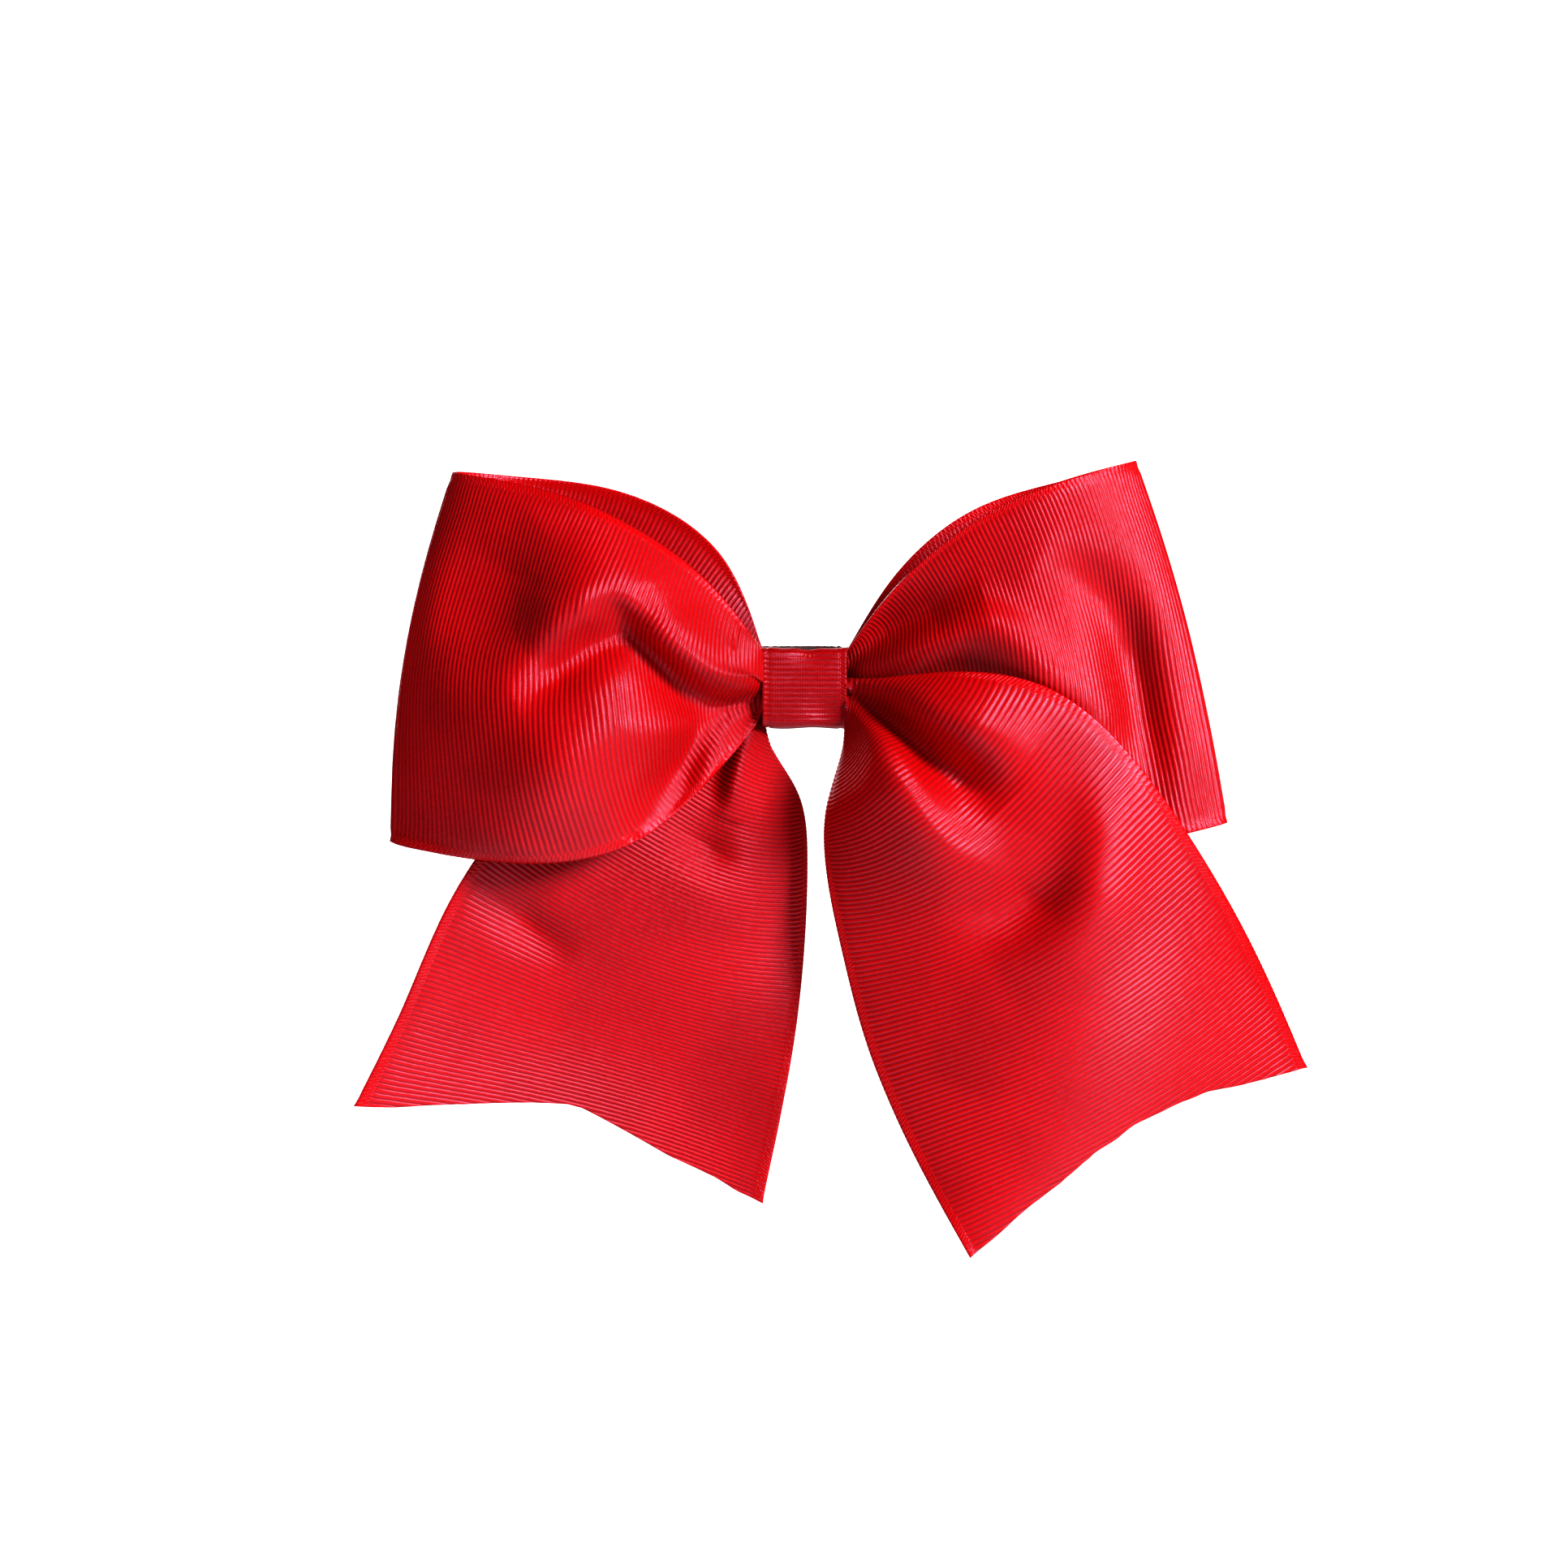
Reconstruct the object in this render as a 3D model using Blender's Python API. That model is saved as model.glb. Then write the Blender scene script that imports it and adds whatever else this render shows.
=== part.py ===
"""Cheer hair bow: a wide grosgrain ribbon folded as a figure 8, tied, wrapped and glued on an alligator clip.

+X runs along the clip and the loops, +Z is up, and the bow faces -Y. The origin is on the flat face of the
clip's lower jaw that lies on the head, so everything else is in front of it. Sizes are in millimetres, and MM
turns them into metres.
"""
import math

import bmesh
import bpy
import numpy as np
from mathutils import Vector

MM = 0.001

# The stack behind the knot, from the head forwards
SHEET = 0.8  # thickness of the ribbon's plain solids
GAP = 0.3  # between pieces that touch
FINE_GAP = 0.1  # between pieces that are glued or sewn together
PLATE = 0.8  # clip steel
FLANGE = 0.6  # the clip's toothed sides and its pin ears
JAW_HALF_WIDTH = 4.6  # its edge shows just above the wrap
LEVER_HALF_WIDTH = 3.2
HAIR_GAP = 1.9  # from the lower jaw to the lining
LINING = 0.5
LINING_HALF_WIDTH = 3.6
GLUE = 0.8
WRAP = 0.6

# The clip
NOSE_X = -26.8
LEVER_X = 25.0
HINGE_X = 13.0
HINGE_Y = -2.9
PIN_RADIUS = 0.75
PIN_HOLE_RADIUS = 0.84
PIN_HEAD_RADIUS = 1.3
PIN_HEAD = 0.5
EAR_RADIUS = 1.6
OUTER_EAR_RADIUS = 1.8
TOOTH_PITCH = 2.0
TOOTH_HEIGHT = 0.7
EDGE_TOOTH_PITCH = 1.4
EDGE_TOOTH_DEPTH = 0.35
SPRING_WIRE_RADIUS = 0.35
SPRING_RADIUS = 1.25
SPRING_PITCH = 0.8
SPRING_TURNS = 5
SPRING_LEG = 7.5

# The knot
WRAP_WIDTH = 16.2
WRAP_HEIGHT = 15.6
KNOT_DEPTH = 9.0
KNOT_Z = -4.0  # the knot's centre is below the clip's centre line
PLEATS = 9
THREAD_RADIUS = 0.45
THREAD_TURNS = 5

upper_inner_y = -(PLATE + HAIR_GAP + LINING + FINE_GAP)
upper_outer_y = upper_inner_y - PLATE
lining_outer_y = upper_outer_y - FINE_GAP - LINING
clip_glue_y = lining_outer_y - FINE_GAP - GLUE
wrap_back_y = clip_glue_y - FINE_GAP
knot_back_y = wrap_back_y - 2 * WRAP - GAP - 2 * FINE_GAP - FINE_GAP
KNOT_Y = knot_back_y - KNOT_DEPTH / 2
core_half_height = WRAP_HEIGHT / 2 - WRAP - FINE_GAP
ROOT_X = WRAP_WIDTH / 2 + GAP  # where the loops and tails begin

# Each ribbon run is a row of stations from the knot outwards. A station gives the run's lower selvedge, its
# middle and its upper selvedge as (right, forward, up) from the centre of the knot.
LEFT_LOOP = [
    ((-ROOT_X, 3, -6.5), (-ROOT_X, 3, 0), (-ROOT_X, 3, 6.5)),
    ((-17.5, 9, -17), (-24, 15, -0.5), (-15.5, 7, 17)),
    ((-32.5, 17, -30), (-44, 25, 2), (-35, 14, 31.5)),
    ((-60, 15, -33), (-65.5, 20, 3), (-54.5, 11, 38.5)),
    ((-79.5, 4, -29.5), (-76.5, 7, 5.5), (-67.5, 3, 41.5)),
    ((-62, -6, -30.5), (-65, -7, 8), (-54, -7, 41.5)),
    ((-35, -8, -30.5), (-42, -8, 3), (-33.5, -7, 38)),
    ((-18, -4.5, -14.5), (-20.5, -4, 1.5), (-16, -4, 26)),
    ((-ROOT_X, -3, -6.5), (-ROOT_X, -3, 0), (-ROOT_X, -3, 6.5)),
]
RIGHT_LOOP = [
    ((ROOT_X, 0.3, -6.5), (ROOT_X, 0.3, 0), (ROOT_X, 0.3, 6.5)),
    ((20, 2, -17), (23, 7, 2.5), (15.5, 7, 17)),
    ((40, 5, -29.5), (39.5, 13, 7), (33.5, 13, 32)),
    ((64, 7, -30), (61, 14, 7), (51, 13, 39.5)),
    ((81.5, 1, -26), (74, 4, 10), (63.5, 4, 43.5)),
    ((66, -5, -28.5), (61.5, -6, 8), (52, -5, 41)),
    ((43, -7, -27), (39.5, -7, 6.5), (33, -6, 35)),
    ((22, -2.8, -13), (22, -2.8, 1.5), (16, -3, 20)),
    ((ROOT_X, -2.8, -6.5), (ROOT_X, -2.8, 0), (ROOT_X, -2.8, 6.5)),
]
RIGHT_TAIL = [
    ((ROOT_X, 3, -6.8), (ROOT_X, 3, -3), (ROOT_X, 3, 1)),
    ((9.2, 4.2, -9.8), (11.8, 5.2, -6), (13.5, 5, 1.5)),
    ((4.5, 9, -21.5), (14.5, 17, -13), (24.5, 13, 2.5)),
    ((4, 10, -33), (24, 20, -25), (46, 18.5, -0.5)),
    ((7, 10, -49.5), (35, 19, -40.5), (62, 20, -14)),
    ((12, 8, -68.5), (46, 12, -57.5), (77.5, 17, -35)),
    ((20, 7, -87.5), (54, 9, -75), (87.5, 12, -51.5)),
    ((31.5, 6, -107.5), (62, 7, -92), (97.5, 8, -73)),
]
LEFT_TAIL = [
    ((-ROOT_X, 0, -6.8), (-ROOT_X, 0, -4), (-ROOT_X, 0, -0.5)),
    ((-9, 0.3, -9.8), (-11.5, 0.5, -7.5), (-13, -0.3, -1.5)),
    ((-2.5, 1, -18.5), (-11, 1.5, -17.5), (-22, -1, -6.5)),
    ((0.5, 2, -33), (-17.5, 5, -31.5), (-42.5, 0, -16)),
    ((0, 0, -49), (-26.5, 6, -44), (-56.5, 2, -25.5)),
    ((-1.5, -2, -65), (-33, 6, -58), (-67, 4, -39.5)),
    ((-4.5, -3, -82.5), (-39, 6, -71.5), (-76.5, 6, -60.5)),
    ((-8, -3, -99.5), (-47, 5, -86), (-85.5, 6, -80)),
]
ACROSS = 10  # grid cells across the ribbon
LOOP_ALONG = 40
TAIL_ALONG = 18

RED = (0.56, 0.004, 0.008)
STEEL = (0.62, 0.62, 0.60)
GLUE_COLOUR = (0.80, 0.76, 0.62)


def material(name, colour, roughness, metallic=0.0):
    made = bpy.data.materials.new(name)
    made.use_nodes = True
    shader = made.node_tree.nodes["Principled BSDF"]
    shader.inputs["Base Color"].default_value = (*colour, 1.0)
    shader.inputs["Roughness"].default_value = roughness
    shader.inputs["Metallic"].default_value = metallic
    return made


def placed(name, mesh, finish, origin=(0.0, 0.0, 0.0)):
    """Link a mesh given in world millimetres as an object whose origin is the given point."""
    for vertex in mesh.vertices:
        vertex.co = (vertex.co - Vector(origin)) * MM
    made = bpy.data.objects.new(name, mesh)
    made.location = Vector(origin) * MM
    made.data.materials.append(finish)
    bpy.context.scene.collection.objects.link(made)
    return made


def mesh_from(name, points, faces):
    """A mesh with its faces turned outwards."""
    work = bmesh.new()
    verts = [work.verts.new(point) for point in points]
    for face in faces:
        work.faces.new([verts[index] for index in face])
    bmesh.ops.recalc_face_normals(work, faces=work.faces)
    mesh = bpy.data.meshes.new(name)
    work.to_mesh(mesh)
    work.free()
    return mesh


def prism(outline, low, high, axis):
    """Points and faces of a flat outline extruded along an axis; its pairs are in the other axes' order."""
    place = {
        "X": lambda first, second, level: (level, first, second),
        "Y": lambda first, second, level: (first, level, second),
        "Z": lambda first, second, level: (first, second, level),
    }[axis]
    count = len(outline)
    ends = [place(first, second, level) for level in (low, high) for first, second in outline]
    sides = [(i, (i + 1) % count, count + (i + 1) % count, count + i) for i in range(count)]
    return ends, sides + [tuple(range(count)), tuple(range(count, 2 * count))]


def arc(centre, radius, start, stop, steps):
    """Points of an arc, with its angles in degrees."""
    angles = [math.radians(start + (stop - start) * i / steps) for i in range(steps + 1)]
    return [(centre[0] + radius * math.cos(a), centre[1] + radius * math.sin(a)) for a in angles]


def cubic_through(knots, values, at):
    """A natural cubic spline through values (rows) at knots, read at the given parameters."""
    count = len(knots)
    step = np.diff(knots)
    system = np.eye(count)
    right = np.zeros_like(values)
    for i in range(1, count - 1):
        system[i, i - 1:i + 2] = step[i - 1], 2 * (step[i - 1] + step[i]), step[i]
        slopes = (values[i + 1] - values[i]) / step[i] - (values[i] - values[i - 1]) / step[i - 1]
        right[i] = 6 * slopes
    bend = np.linalg.solve(system, right)
    cell = np.clip(np.searchsorted(knots, at, side="right") - 1, 0, count - 2)
    size = step[cell][:, None]
    after = (at - knots[cell])[:, None]
    before = size - after
    straight = (values[cell] * before + values[cell + 1] * after) / size
    lower = (before ** 3 / size - size * before) * bend[cell] / 6
    upper = (after ** 3 / size - size * after) * bend[cell + 1] / 6
    return straight + lower + upper


def ribbon_grid(stations, along):
    """World points of a ribbon run on an even grid: a parabola across, a cubic spline along."""
    net = np.array(stations, float)
    net = np.stack([net[..., 0], KNOT_Y - net[..., 1], KNOT_Z + net[..., 2]], axis=-1)
    chords = np.linalg.norm(np.diff(net, axis=0), axis=2).mean(axis=1)
    knots = np.concatenate([[0.0], np.cumsum(chords)])
    at = np.linspace(0.0, knots[-1], along + 1)
    lines = [cubic_through(knots, net[:, k], at) for k in range(3)]
    across = np.linspace(0.0, 1.0, ACROSS + 1)[None, :, None]
    low, mid, top = (line[:, None, :] for line in lines)
    return (
        low * (1 - across) * (1 - 2 * across)
        + mid * 4 * across * (1 - across)
        + top * across * (2 * across - 1)
    )


def ribbon_run(name, stations, along, finish, origin=(0.0, 0.0, 0.0)):
    """A run of ribbon as a closed sheet of even thickness."""
    grid = ribbon_grid(stations, along)
    flow = np.gradient(grid, axis=0)
    side = np.gradient(grid, axis=1)
    normal = np.cross(flow, side)
    normal[[0, -1], :, 0] = 0.0  # the ends stand square to the knot's side
    normal /= np.linalg.norm(normal, axis=2, keepdims=True)
    rows, cols = grid.shape[:2]
    skins = [grid + normal * SHEET / 2, grid - normal * SHEET / 2]
    points = [tuple(point) for skin in skins for point in skin.reshape(-1, 3)]
    back = rows * cols
    faces = []
    for i in range(rows - 1):
        for j in range(cols - 1):
            a, b = i * cols + j, (i + 1) * cols + j
            faces.append((a, b, b + 1, a + 1))
            faces.append((back + a, back + a + 1, back + b + 1, back + b))
    for i in range(rows - 1):
        for j in (0, cols - 1):
            a, b = i * cols + j, (i + 1) * cols + j
            faces.append((a, b, back + b, back + a))
    for j in range(cols - 1):
        for i in (0, rows - 1):
            a = i * cols + j
            faces.append((a, a + 1, back + a + 1, back + a))
    made = placed(name, mesh_from(name, points, faces), finish, origin)
    made.data.shade_smooth()
    made.data.set_sharp_from_angle(angle=math.radians(40))
    return made


def pleated_outline(depth, half_height, scallops):
    """The tied ribbon seen along X, as (y, z) pairs: flat front and back, folded edges above and below."""
    radius = depth / scallops / 2
    points = []
    for side in (1, -1):
        for i in range(scallops):
            centre = side * (depth / 2 - radius * (2 * i + 1))
            outermost = i in (0, scallops - 1)
            top = half_height - radius - (radius if outermost else 0.0)
            bend = arc((0, 0), radius, 0, 180, 4)[:-1]
            points += [(centre + side * y, side * (top + z)) for y, z in bend]
        points.append((-side * depth / 2, side * (half_height - 2 * radius)))
    return points


def gathered_knot(finish):
    """The three layers of ribbon pinched into pleats, with a waist for the thread."""
    waist = THREAD_TURNS * THREAD_RADIUS + GAP
    half = WRAP_WIDTH / 2
    stations = [(-half, 1.0), (-waist - 1, 1.0), (-waist, 0.0), (waist, 0.0), (waist + 1, 1.0), (half, 1.0)]
    groove = 2 * THREAD_RADIUS + 2 * FINE_GAP
    outline = pleated_outline(KNOT_DEPTH, core_half_height, PLEATS)
    points = []
    for x, full in stations:
        keep_y = 1 - (1 - full) * groove / (KNOT_DEPTH / 2)
        keep_z = 1 - (1 - full) * groove / core_half_height
        points += [(x, KNOT_Y + y * keep_y, KNOT_Z + z * keep_z) for y, z in outline]
    count = len(outline)
    faces = [tuple(range(count)), tuple(range((len(stations) - 1) * count, len(stations) * count))]
    for level in range(len(stations) - 1):
        for i in range(count):
            a, b = level * count + i, level * count + (i + 1) % count
            faces.append((a, b, b + count, a + count))
    placed("gathered_knot", mesh_from("gathered_knot", points, faces), finish)


def rounded_ring(half_y, half_z, radius, steps):
    """A closed path round the knot with the outward direction at each point, as (y, z, out_y, out_z)."""
    path = []
    for k in range(4):
        sign_y = (1, -1, -1, 1)[k]
        sign_z = (1, 1, -1, -1)[k]
        for i in range(steps + 1):
            a = math.radians(90 * k + 90 * i / steps)
            out_y, out_z = math.cos(a), math.sin(a)
            centre_y, centre_z = sign_y * (half_y - radius), sign_z * (half_z - radius)
            path.append((centre_y + radius * out_y, centre_z + radius * out_z, out_y, out_z))
    return path


def binding_thread(finish):
    """Turns of thread side by side round the waist of the pleats, as one ring with a bead for each turn."""
    groove = 2 * THREAD_RADIUS + 2 * FINE_GAP
    path = rounded_ring(
        KNOT_DEPTH / 2 - groove + FINE_GAP, core_half_height - groove + FINE_GAP, 0.4, 3
    )
    profile = []
    for turn in range(THREAD_TURNS):
        centre = (2 * turn - THREAD_TURNS + 1) * THREAD_RADIUS
        bead = arc((centre, THREAD_RADIUS), THREAD_RADIUS, 180, 0, 4)
        profile += bead if turn == 0 else bead[1:]
    profile += [(THREAD_TURNS * THREAD_RADIUS, 0.0), (-THREAD_TURNS * THREAD_RADIUS, 0.0)]
    points = [
        (x, KNOT_Y + y + out_y * height, KNOT_Z + z + out_z * height)
        for y, z, out_y, out_z in path
        for x, height in profile
    ]
    rows, cols = len(path), len(profile)
    faces = []
    for i in range(rows):
        for j in range(cols):
            a, b = i * cols + j, ((i + 1) % rows) * cols + j
            c, d = ((i + 1) % rows) * cols + (j + 1) % cols, i * cols + (j + 1) % cols
            faces.append((a, b, c, d))
    placed("binding_thread", mesh_from("binding_thread", points, faces), finish)


def centre_wrap(finish):
    """The narrow band: once round the knot, with its ends overlapping behind."""
    half_y = KNOT_DEPTH / 2 + FINE_GAP
    half_z = WRAP_HEIGHT / 2 - WRAP
    lap = WRAP + GAP + 2 * FINE_GAP
    ring = rounded_ring(half_y, half_z, 1.2, 4)
    corners = len(ring) // 4
    top_back, top_front, low_front, low_back = (ring[k * corners:(k + 1) * corners] for k in range(4))
    inner = [(half_y, -half_z + 4.0)] + [
        (y, z) for y, z, _, _ in top_back + top_front + low_front
    ]
    outer_start = (half_y + WRAP, -half_z + 4.0)
    outer = [outer_start] + [
        (y + out_y * WRAP, z + out_z * WRAP) for y, z, out_y, out_z in top_back + top_front + low_front
    ]
    turn = [(y + (lap if y > half_y - 1.2 else 0.0), z, a, b) for y, z, a, b in low_back]
    inner += [(y, z) for y, z, _, _ in turn] + [(half_y + lap, half_z - 4.0)]
    outer += [(y + a * WRAP, z + b * WRAP) for y, z, a, b in turn] + [(half_y + lap + WRAP, half_z - 4.0)]
    section = [(KNOT_Y + y, KNOT_Z + z) for y, z in outer + inner[::-1]]
    shape = prism(section, -WRAP_WIDTH / 2, WRAP_WIDTH / 2, "X")
    placed("centre_wrap", mesh_from("centre_wrap", *shape), finish)


def block(name, low, high, finish, round_off=0.0):
    """A box between two corners, with its edges rounded off."""
    work = bmesh.new()
    bmesh.ops.create_cube(work, size=1.0)
    for vert in work.verts:
        vert.co = [low[k] + (vert.co[k] + 0.5) * (high[k] - low[k]) for k in range(3)]
    if round_off:
        bmesh.ops.bevel(work, geom=work.edges[:], offset=round_off, segments=2, affect="EDGES", profile=0.5)
    mesh = bpy.data.meshes.new(name)
    work.to_mesh(mesh)
    work.free()
    return placed(name, mesh, finish)


def combine(name, base, others, finish):
    """Put a Boolean for each other shape on the base object; the others stay as hidden guides."""
    for index, (points, faces, operation) in enumerate(others):
        guide = placed(f"{name}_guide_{index}", mesh_from("guide", points, faces), finish)
        guide.hide_render = True
        guide.display_type = "WIRE"
        cut = base.modifiers.new(f"shape_{index}", "BOOLEAN")
        cut.operation = operation
        cut.solver = "EXACT"
        cut.object = guide


def pin_hole():
    """A cutter along the hinge axis."""
    circle = arc((HINGE_X, HINGE_Y), PIN_HOLE_RADIUS, 0, 360, 28)[:-1]
    return (*prism(circle, -JAW_HALF_WIDTH - 1, JAW_HALF_WIDTH + 1, "Z"), "DIFFERENCE")


def toothed_side():
    """The lower jaw's turned-up side with its teeth, as (x, y) pairs."""
    front, rear = NOSE_X + JAW_HALF_WIDTH, HINGE_X - 8.0
    root = -PLATE - HAIR_GAP + GAP + TOOTH_HEIGHT
    count = int((rear - front) / TOOTH_PITCH)
    teeth = []
    for i in range(count):
        teeth += [(front + i * TOOTH_PITCH, root), (front + (i + 0.5) * TOOTH_PITCH, root - TOOTH_HEIGHT)]
    ends = [(front + count * TOOTH_PITCH, root), (rear, root)]
    return [(rear, -PLATE / 2), (front, -PLATE / 2)] + teeth + ends


def lower_jaw(finish):
    """The jaw that goes under the hair: flat against the head, toothed sides, ears round the pin."""
    step_x = HINGE_X - 6.0
    outline = arc((NOSE_X + JAW_HALF_WIDTH, 0), JAW_HALF_WIDTH, 90, 270, 10)
    outline += [(step_x - 0.8, -JAW_HALF_WIDTH), (step_x, -LEVER_HALF_WIDTH)]
    outline += arc((LEVER_X - LEVER_HALF_WIDTH, 0), LEVER_HALF_WIDTH, -90, 90, 10)
    outline += [(step_x, LEVER_HALF_WIDTH), (step_x - 0.8, JAW_HALF_WIDTH)]
    hinge = (HINGE_X, HINGE_Y, 0.0)
    base = placed("lower_jaw", mesh_from("lower_jaw", *prism(outline, -PLATE, 0.0, "Y")), finish, hinge)
    ear = [(HINGE_X + EAR_RADIUS, -PLATE / 2)] + arc((HINGE_X, HINGE_Y), EAR_RADIUS, 0, -180, 10)
    ear += [(HINGE_X - EAR_RADIUS, -PLATE / 2)]
    shapes = []
    for side in (-1, 1):
        low, high = sorted((side * (JAW_HALF_WIDTH - FLANGE), side * JAW_HALF_WIDTH))
        shapes.append((*prism(toothed_side(), low, high, "Z"), "UNION"))
        low, high = sorted((side * (LEVER_HALF_WIDTH - FLANGE), side * LEVER_HALF_WIDTH))
        shapes.append((*prism(ear, low, high, "Z"), "UNION"))
    combine("lower_jaw", base, shapes + [pin_hole()], finish)


def serrated_edge(front, rear, level):
    """Small teeth along one long edge of the upper jaw seen from the front, as (x, z) pairs."""
    root = level - math.copysign(EDGE_TOOTH_DEPTH, level)
    count = int((rear - front) / EDGE_TOOTH_PITCH)
    teeth = []
    for i in range(count):
        start = front + i * EDGE_TOOTH_PITCH
        teeth += [(start, level), (start + EDGE_TOOTH_PITCH / 2, root)]
    return teeth


def upper_jaw(finish):
    """The jaw under the bow: flat along the knot, then rising past the hinge into the thumb lever."""
    middle = (upper_inner_y + upper_outer_y) / 2
    bend_x, rise_x = HINGE_X - 4.0, HINGE_X - 0.8
    rise_y, lever_y = middle - 1.7, middle - 3.9
    spine = [(NOSE_X - 0.4, middle), (bend_x, middle), (rise_x, rise_y), (LEVER_X + 0.5, lever_y)]
    side = [(x, y - PLATE / 2) for x, y in spine] + [(x, y + PLATE / 2) for x, y in spine[::-1]]
    blank = prism(side, -JAW_HALF_WIDTH, JAW_HALF_WIDTH, "Z")
    base = placed("upper_jaw", mesh_from("upper_jaw", *blank), finish)
    trim = JAW_HALF_WIDTH - 0.01
    nose = arc((NOSE_X - 0.4 + JAW_HALF_WIDTH, 0), trim, 90, 270, 10)
    tail = arc((LEVER_X + 0.5 - JAW_HALF_WIDTH, 0), trim, -90, 90, 10)
    front = NOSE_X + JAW_HALF_WIDTH + 1.0
    plan = nose + serrated_edge(front, bend_x, -trim) + tail + serrated_edge(front, bend_x, trim)[::-1]
    ear_top = rise_y + 0.1
    ear = [(HINGE_X + OUTER_EAR_RADIUS, ear_top)] + arc((HINGE_X, HINGE_Y), OUTER_EAR_RADIUS, 0, 180, 10)
    ear += [(HINGE_X - OUTER_EAR_RADIUS, ear_top)]
    shapes = [(*prism(plan, -12.0, 0.0, "Y"), "INTERSECT")]
    for sign in (-1, 1):
        low, high = sorted((sign * (JAW_HALF_WIDTH - FLANGE), sign * (JAW_HALF_WIDTH - 0.02)))
        shapes.append((*prism(ear, low, high, "Z"), "UNION"))
    combine("upper_jaw", base, shapes + [pin_hole()], finish)


def hinge_pin(finish):
    """The rivet: a shank with a domed head at each end, turned about the hinge axis."""
    inside = JAW_HALF_WIDTH + FINE_GAP
    end = inside + PIN_HEAD
    half = [(PIN_RADIUS, inside), (PIN_HEAD_RADIUS, inside), (PIN_HEAD_RADIUS, end - 0.2), (0.8, end)]
    profile = [(r, -z) for r, z in half[::-1]] + half
    steps = 20
    points = [(HINGE_X, HINGE_Y, -end)]
    for i in range(steps):
        a = 2 * math.pi * i / steps
        points += [(HINGE_X + r * math.cos(a), HINGE_Y + r * math.sin(a), z) for r, z in profile]
    points.append((HINGE_X, HINGE_Y, end))
    rows = len(profile)
    faces = []
    for i in range(steps):
        a, b = 1 + i * rows, 1 + ((i + 1) % steps) * rows
        faces.append((0, a, b))
        faces.append((len(points) - 1, b + rows - 1, a + rows - 1))
        faces += [(a + j, a + j + 1, b + j + 1, b + j) for j in range(rows - 1)]
    made = placed("hinge_pin", mesh_from("hinge_pin", points, faces), finish, (HINGE_X, HINGE_Y, 0.0))
    made.data.shade_smooth()
    made.data.set_sharp_from_angle(angle=math.radians(30))


def spring_path():
    """The spring wire's centre line: a leg along the upper lever, the coil, a leg along the lower lever."""
    steps = 14
    half = SPRING_PITCH * SPRING_TURNS / 2
    turns = SPRING_TURNS + 0.5
    total = int(turns * steps)
    coil = []
    for i in range(total + 1):
        a = -math.pi / 2 - 2 * math.pi * turns * i / total
        z = half - 2 * half * i / total
        coil.append((HINGE_X + SPRING_RADIUS * math.cos(a), HINGE_Y + SPRING_RADIUS * math.sin(a), z))
    slope = math.tan(math.radians(10))
    first = (coil[0][0] + SPRING_LEG, coil[0][1] - SPRING_LEG * slope, half)
    last = (coil[-1][0] + SPRING_LEG, coil[-1][1], -half)
    return [first, *coil, last]


def torsion_spring(finish):
    route = spring_path()
    curve = bpy.data.curves.new("torsion_spring", "CURVE")
    curve.dimensions = "3D"
    curve.bevel_depth = SPRING_WIRE_RADIUS * MM
    curve.bevel_resolution = 2
    curve.use_fill_caps = True
    line = curve.splines.new("POLY")
    line.points.add(len(route) - 1)
    for point, place in zip(line.points, route):
        point.co = (*(value * MM for value in place), 1.0)
    made = bpy.data.objects.new("torsion_spring", curve)
    made.data.materials.append(finish)
    bpy.context.scene.collection.objects.link(made)


def clip_lining(finish):
    """The thin ribbon folded round the upper jaw's nose, lying on both its faces."""
    out_y, in_y = lining_outer_y, upper_inner_y + FINE_GAP + LINING
    back_x, inner_end = HINGE_X - 4.5, HINGE_X - 7.0
    nose = NOSE_X - 0.4 - FINE_GAP
    tip = nose - LINING
    outer = [(back_x, out_y), (nose, out_y), (tip, out_y + LINING), (tip, in_y - LINING)]
    outer += [(nose, in_y), (inner_end, in_y)]
    inner = [(inner_end, in_y - LINING), (nose, in_y - LINING)]
    inner += [(nose, out_y + LINING), (back_x, out_y + LINING)]
    folded = prism(outer + inner, -LINING_HALF_WIDTH, LINING_HALF_WIDTH, "Z")
    placed("clip_lining", mesh_from("clip_lining", *folded), finish)


def clear_scene():
    for item in list(bpy.data.objects):
        bpy.data.objects.remove(item, do_unlink=True)


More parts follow.
